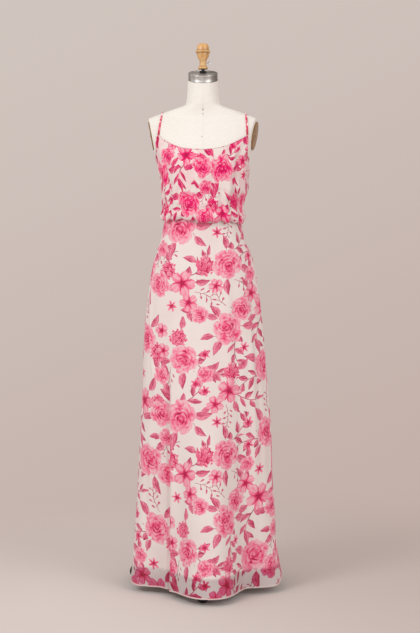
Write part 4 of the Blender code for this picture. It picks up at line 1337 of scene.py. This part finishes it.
columns, rows = 144, 190
table_heights = [row.height for row in FORM_SECTIONS]
shares = np.linspace(0, 1, len(table_heights))
azimuths = np.arange(columns) * 360 / columns
rings = []
for height in smooth_curve(shares, table_heights, np.linspace(1, 0, rows + 1)):
    x, y = oval(FORM_SECTIONS, azimuths, height)
    rings.append([Vector((a, b, height)) for a, b in zip(x, y)])
bm = tube_through(rings)
for centre, normal in ((NECK_CENTRE, NECK_NORMAL), PLATE_PLANES["left"], PLATE_PLANES["right"]):
    geometry = list(bm.verts) + list(bm.edges) + list(bm.faces)
    plane = {"dist": 0.01 * MM, "plane_co": centre, "plane_no": normal}
    cut = bmesh.ops.bisect_plane(bm, geom=geometry, clear_outer=True, **plane)
    edges = [item for item in cut["geom_cut"] if isinstance(item, bmesh.types.BMEdge)]
    bmesh.ops.contextual_create(bm, geom=edges)
bmesh.ops.remove_doubles(bm, verts=bm.verts, dist=0.02 * MM)
bmesh.ops.translate(bm, verts=bm.verts, vec=AXIS)
attach(new_object("form_body_cover", bm, linen), "form", "form_body")

pin_steel, net = start_material("pin_heads")
worn = net.noise(net.place(), 700, 2.0)
pin_tint = net.ramp(worn, [(0.3, (64, 52, 42)), (0.7, (104, 86, 66))])
net.finish({"Base Color": pin_tint, "Metallic": 0.6, "Roughness": 0.4})
bm = bmesh.new()
for x, height, size in ((0.0, 1.568, 2.0), (0.0005, 1.554, 1.5), (-0.003, 1.476, 1.4)):
    depth = form_depth(x, height, "front")
    pin_place = Matrix.Translation(Vector((x, -depth - 0.3 * MM, height)) + AXIS)
    bmesh.ops.create_uvsphere(bm, u_segments=16, v_segments=10, radius=size * MM, matrix=pin_place)
attach(new_object("marking_pins", bm, pin_steel), "form")


# Arm plates. Oval boards with a dark golden-brown varnish close the armholes of the form, each held by
# a round-headed screw.


def grained_material(name, grain, stops, rough, relief, **fixed):
    """A material whose tint, roughness and fine relief all follow one noise."""
    scale, detail, stretch = grain
    material, net = start_material(name)
    noise = net.noise(net.place(), scale, detail, stretch=stretch)
    net.finish({"Base Color": net.ramp(noise, stops), "Roughness": net.step(noise, 0.3, 0.7, *rough)})
    net.finish({"Normal": net.bump(noise, *relief), **fixed})
    return material


plate_wood = grained_material(
    "brown_varnished_board",
    (260, 4.0, (1.0, 1.0, 0.10)),
    [(0.32, (106, 70, 22)), (0.55, (146, 104, 46)), (0.75, (176, 134, 66))],
    (0.30, 0.44),
    (0.15, 0.0003),
    **{"Coat Weight": 0.3},
)


def to_normal(normal):
    """The turn that takes +X up and +Z along the normal."""
    up = Vector((0, 0, 1)) - normal * normal.z
    up.normalize()
    return Matrix((up, normal.cross(up), normal)).transposed()


def put(bm, verts, place, *turns):
    """Turns points about the origin and then moves them to their place."""
    for turn in turns:
        bmesh.ops.rotate(bm, verts=verts, cent=(0, 0, 0), matrix=turn)
    bmesh.ops.translate(bm, verts=verts, vec=place)


for side, (centre, normal) in PLATE_PLANES.items():
    bm = bmesh.new()
    bmesh.ops.create_cone(bm, cap_ends=True, segments=72, radius1=1, radius2=1, depth=3.7 * MM)
    put(bm, bm.verts, (0, 0, 2.15 * MM))
    rim = [e for e in bm.edges if all(v.co.z > 2 * MM for v in e.verts)]
    bmesh.ops.scale(bm, verts=bm.verts, vec=(0.047, 0.033, 1))
    bmesh.ops.bevel(bm, geom=rim, offset=1.5 * MM, segments=4, profile=0.5, affect="EDGES", material=-1)
    screw = bmesh.ops.create_uvsphere(bm, u_segments=20, v_segments=10, radius=3.2 * MM)
    bmesh.ops.scale(bm, verts=screw["verts"], vec=(1, 1, 0.4))
    put(bm, screw["verts"], (0, 0, 4.2 * MM))
    put(bm, bm.verts, centre + AXIS, to_normal(normal))
    board = new_object(f"arm_plate_{side}_board", bm, plate_wood)
    attach(board, "form", f"arm_plate_{side}")


# Neck cap, nut and wing screw. The cap is spun steel with a rolled rim and a brushed finish, tilted
# with the neck; its colour holds painted reflections in upright bands and painted shade at its sides
# and on the right. A black nut and rod stand on it, and a small cast screw holds the finial.

cap_steel, net = start_material("brushed_cap_steel")
from_cap = net.vector("SUBTRACT", net.place(), tuple(AXIS + NECK_CENTRE))
scratches = net.noise(from_cap, 1400, 3.0, stretch=(0.06, 0.06, 1.0))
round_cap = net.vector("NORMALIZE", net.vector("MULTIPLY", from_cap, (1.0, 1.0, 0.02)))
# Painted reflection in upright bands round the cap, a painted highlight towards the front and painted
# shade at the sides and on the right, all in the base colour.
reflection_bands = net.noise(round_cap, 2.8, 4.0, stretch=(1.0, 1.0, 0.0))
sideways, _, _ = net.split(round_cap)
painted_reflection = reflection_bands * 1.1 - 0.27 + (1.0 - sideways * sideways) * 0.50 - sideways * 0.16
stops = [(0.22, (106, 104, 100)), (0.50, (166, 166, 162)), (0.88, (222, 224, 222))]
net.finish(
    {
        "Base Color": net.ramp(painted_reflection, stops),
        "Roughness": net.step(scratches, 0.3, 0.7, 0.36, 0.50),
        "Normal": net.bump(scratches, 0.12, 0.0002),
        "Metallic": 0.8,
    }
)


def lathe(profile, sides, closed=False):
    """A solid turned round +Z from (radius, height) points in mm, closed or ending on the axis."""
    bm = bmesh.new()
    points = [bm.verts.new((radius * MM, 0, height * MM)) for radius, height in profile]
    ends = points[1:] + points[:1] if closed else points[1:]
    edges = [bm.edges.new(pair) for pair in zip(points, ends)]
    about = {"cent": (0, 0, 0), "axis": (0, 0, 1), "angle": math.tau}
    bmesh.ops.spin(bm, geom=points + edges, steps=sides, use_merge=True, **about)
    bmesh.ops.remove_doubles(bm, verts=bm.verts, dist=0.01 * MM)
    bmesh.ops.recalc_face_normals(bm, faces=bm.faces)
    return bm


TILT = Matrix.Rotation(CAP_TILT, 3, "X")
profile = [(0, 0.3), (46.8, 0.3), (48.2, 0.8), (48.4, 2.0), (48.2, 3.2), (47.7, 3.8), (47.7, 20.0)]
profile += [(48.2, 20.8), (48.2, 22.3), (47.4, 23.5), (46.0, 24.0), (44.0, 24.0), (43.4, 23.5)]
profile += [(20.0, 23.5), (0, 23.5)]
bm = lathe(profile, 112)
put(bm, bm.verts, NECK_CENTRE + AXIS, TILT)
attach(new_object("neck_cap_steel", bm, cap_steel), "form", "neck_cap")

black_metal = grained_material(
    "satin_black_metal",
    (380, 3.0, (1.0, 1.0, 1.0)),
    [(0.35, (26, 25, 26)), (0.75, (44, 42, 42))],
    (0.38, 0.54),
    (0.2, 0.0003),
    Metallic=0.35,
)

FINIAL_BOTTOM = 1.7023
on_cap = NECK_CENTRE + NECK_NORMAL * 24.3 * MM
finial_foot = AXIS + Vector((on_cap.x, on_cap.y, FINIAL_BOTTOM))
nut = lathe([(0, 0), (11.2, 0), (12, 0.8), (12, 4.2), (11.2, 5), (0, 5)], 6)
put(nut, nut.verts, on_cap + AXIS, TILT)
rod_length = FINIAL_BOTTOM - on_cap.z - 1 * MM
rod_size = {"segments": 32, "radius1": 5 * MM, "radius2": 5 * MM, "depth": rod_length}
rod = bmesh.ops.create_cone(nut, cap_ends=True, **rod_size)
put(nut, rod["verts"], finial_foot - Vector((0, 0, rod_length / 2)))
attach(new_object("neck_nut_and_rod", nut, black_metal), "form", "neck_nut")

zinc = grained_material(
    "bright_zinc",
    (500, 3.0, (1.0, 1.0, 1.0)),
    [(0.3, (206, 214, 218)), (0.7, (238, 244, 246))],
    (0.24, 0.40),
    (0.2, 0.0002),
    Metallic=0.85,
)

screw = lathe([(0, 11.0), (2.2, 11.0), (2.2, 18), (3.2, 19), (3.2, 21), (0, 21.5)], 28)
for side in (-1, 1):
    blade = bmesh.ops.create_uvsphere(screw, u_segments=24, v_segments=14, radius=1.0)
    bmesh.ops.scale(screw, verts=blade["verts"], vec=(1.3 * MM, 4.0 * MM, 4.2 * MM))
    put(screw, blade["verts"], (0, side * 3.6 * MM, 23 * MM))
blades_lean = Matrix.Rotation(math.radians(64), 3, "Z")
on_its_side = Matrix.Rotation(math.radians(90), 3, "Y")
put(screw, screw.verts, finial_foot + Vector((0, 0, 21.5 * MM)), blades_lean, on_its_side)
attach(new_object("wing_screw_cast", screw, zinc), "form", "wing_screw")


# Finial. One piece of pale hardwood, turned to an acorn on a waisted foot and finished with satin
# varnish, so that the grain runs from foot to top.

maple, net = start_material("turned_pale_wood")
from_axis = net.vector("SUBTRACT", net.place(), tuple(AXIS))
pores = net.noise(from_axis, 620, 4.0, stretch=(1.0, 1.0, 0.08))
figure = net.noise(from_axis, 90, 3.0, stretch=(1.0, 1.0, 0.20))
tint = net.ramp(figure, [(0.3, (214, 166, 104)), (0.7, (240, 204, 148))])
pore_tone = net.step(pores, 0.30, 0.55, 0.80, 1.0)
tint = net.mix_colour(1.0, tint, net.join(pore_tone, pore_tone, pore_tone), "MULTIPLY")
_, _, level = net.split(from_axis)
FINIAL_HEIGHT = 84.4
up_finial = (level - FINIAL_BOTTOM) / (FINIAL_HEIGHT * MM)
# Painted shade and highlight by height: darker in the turned grooves, lighter on the beads and the top of
# the acorn.
shade_by_height = [(0.00, 214), (0.07, 250), (0.095, 186), (0.14, 240), (0.33, 226), (0.40, 250), (0.585, 226)]
shade_by_height += [(0.615, 168), (0.64, 236), (0.70, 248), (0.735, 182), (0.77, 240), (0.90, 255), (1.00, 232)]
painted_groove_shade = net.ramp(up_finial, [(position, (tone, tone - 6, tone - 14)) for position, tone in shade_by_height])
net.finish(
    {
        "Base Color": net.mix_colour(1.0, tint, painted_groove_shade, "MULTIPLY"),
        "Roughness": net.step(figure, 0.3, 0.7, 0.34, 0.46),
        "Normal": net.bump(pores, 0.15, 0.0002),
        "Coat Weight": 0.25,
    }
)

profile = [(0, 0), (13.4, 0), (15.6, 0.5), (16.3, 1.8), (16.4, 4.0), (16.2, 6.2), (15.3, 7.4), (14.2, 8.2)]
profile += [(13.6, 9.3), (12.4, 10.8), (11.6, 13.5), (11.2, 17), (11.2, 22), (11.6, 26.5), (12.6, 29.6)]
profile += [(14.2, 32.6), (16.2, 35.6), (18.2, 39.0), (19.6, 43.0), (20.5, 47.5), (20.9, 52.0)]
profile += [(22.4, 53.2), (23.8, 54.6), (24.4, 56.6), (24.4, 58.4), (23.8, 60.2), (22.4, 61.4)]
profile += [(20.8, 62.2), (20.6, 66.0), (20.3, 70.5), (19.5, 74.6), (17.9, 78.4), (15.2, 81.4)]
profile += [(11.4, 83.4), (6.5, 84.2), (0, FINIAL_HEIGHT)]
bm = lathe(profile, 72)
put(bm, bm.verts, finial_foot)
attach(new_object("finial_wood", bm, maple), "form", "finial")


# Stand. A brushed steel pole slides in a brushed steel tube under a black clamp collar with a knob. The
# tube stands in a black hub with three tapered cast legs.

tube_steel, net = start_material("brushed_tube_steel")
rubbed = net.noise(net.place(), 1500, 3.0, stretch=(1.0, 1.0, 0.03))
stain = net.noise(net.place(), 18, 3.0)
net.finish(
    {
        "Base Color": net.ramp(stain, [(0.3, (168, 166, 164)), (0.7, (196, 194, 190))]),
        "Roughness": net.step(rubbed, 0.3, 0.7, 0.22, 0.38),
        "Normal": net.bump(rubbed, 0.1, 0.0002),
        "Metallic": 1.0,
    }
)

steel_names = ["column_tube", "column_pole"]
black_names = ["clamp_collar", "clamp_knob", "form_flange", "hub"]
black_names += [f"{part}_{side}" for part in ("leg", "fork") for side in ("front", "right", "left")]
for name in steel_names + black_names:
    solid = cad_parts[name]
    solid.data.materials.clear()
    solid.data.materials.append(tube_steel if name in steel_names else black_metal)
    edge_round = solid.modifiers.new("soft_edges", "BEVEL")
    edge_round.width = 0.6 * MM
    edge_round.segments = 2
    edge_round.limit_method = "ANGLE"
    edge_round.angle_limit = math.radians(40)


# Casters. Each black rubber-tyred wheel has a rounded tread and a moulded hub, and turns between the
# cheeks of a steel fork.

rubber = grained_material(
    "black_caster_rubber",
    (240, 4.0, (1.0, 1.0, 1.0)),
    [(0.4, (22, 21, 22)), (0.8, (52, 49, 47))],
    (0.42, 0.66),
    (0.2, 0.0002),
)

half = [(3.5, 8.5), (8.0, 8.5), (9.0, 7.4), (15.5, 7.4), (16.2, 8.5), (19.0, 8.4), (20.6, 7.6)]
half += [(21.7, 5.8), (22.0, 3.2)]
profile = [(radius, -along) for radius, along in half] + half[::-1]
for name in ("front", "right", "left"):
    low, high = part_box(f"wheel_{name}")
    bm = lathe(profile, 64, closed=True)
    put(bm, bm.verts, (low + high) / 2, Matrix.Rotation(math.radians(90), 3, "X"))
    wheel = new_object(f"wheel_{name}_rubber", bm, rubber)
    attach(wheel, f"wheel_{name}", f"wheel_{name}")


bpy.context.view_layer.update()
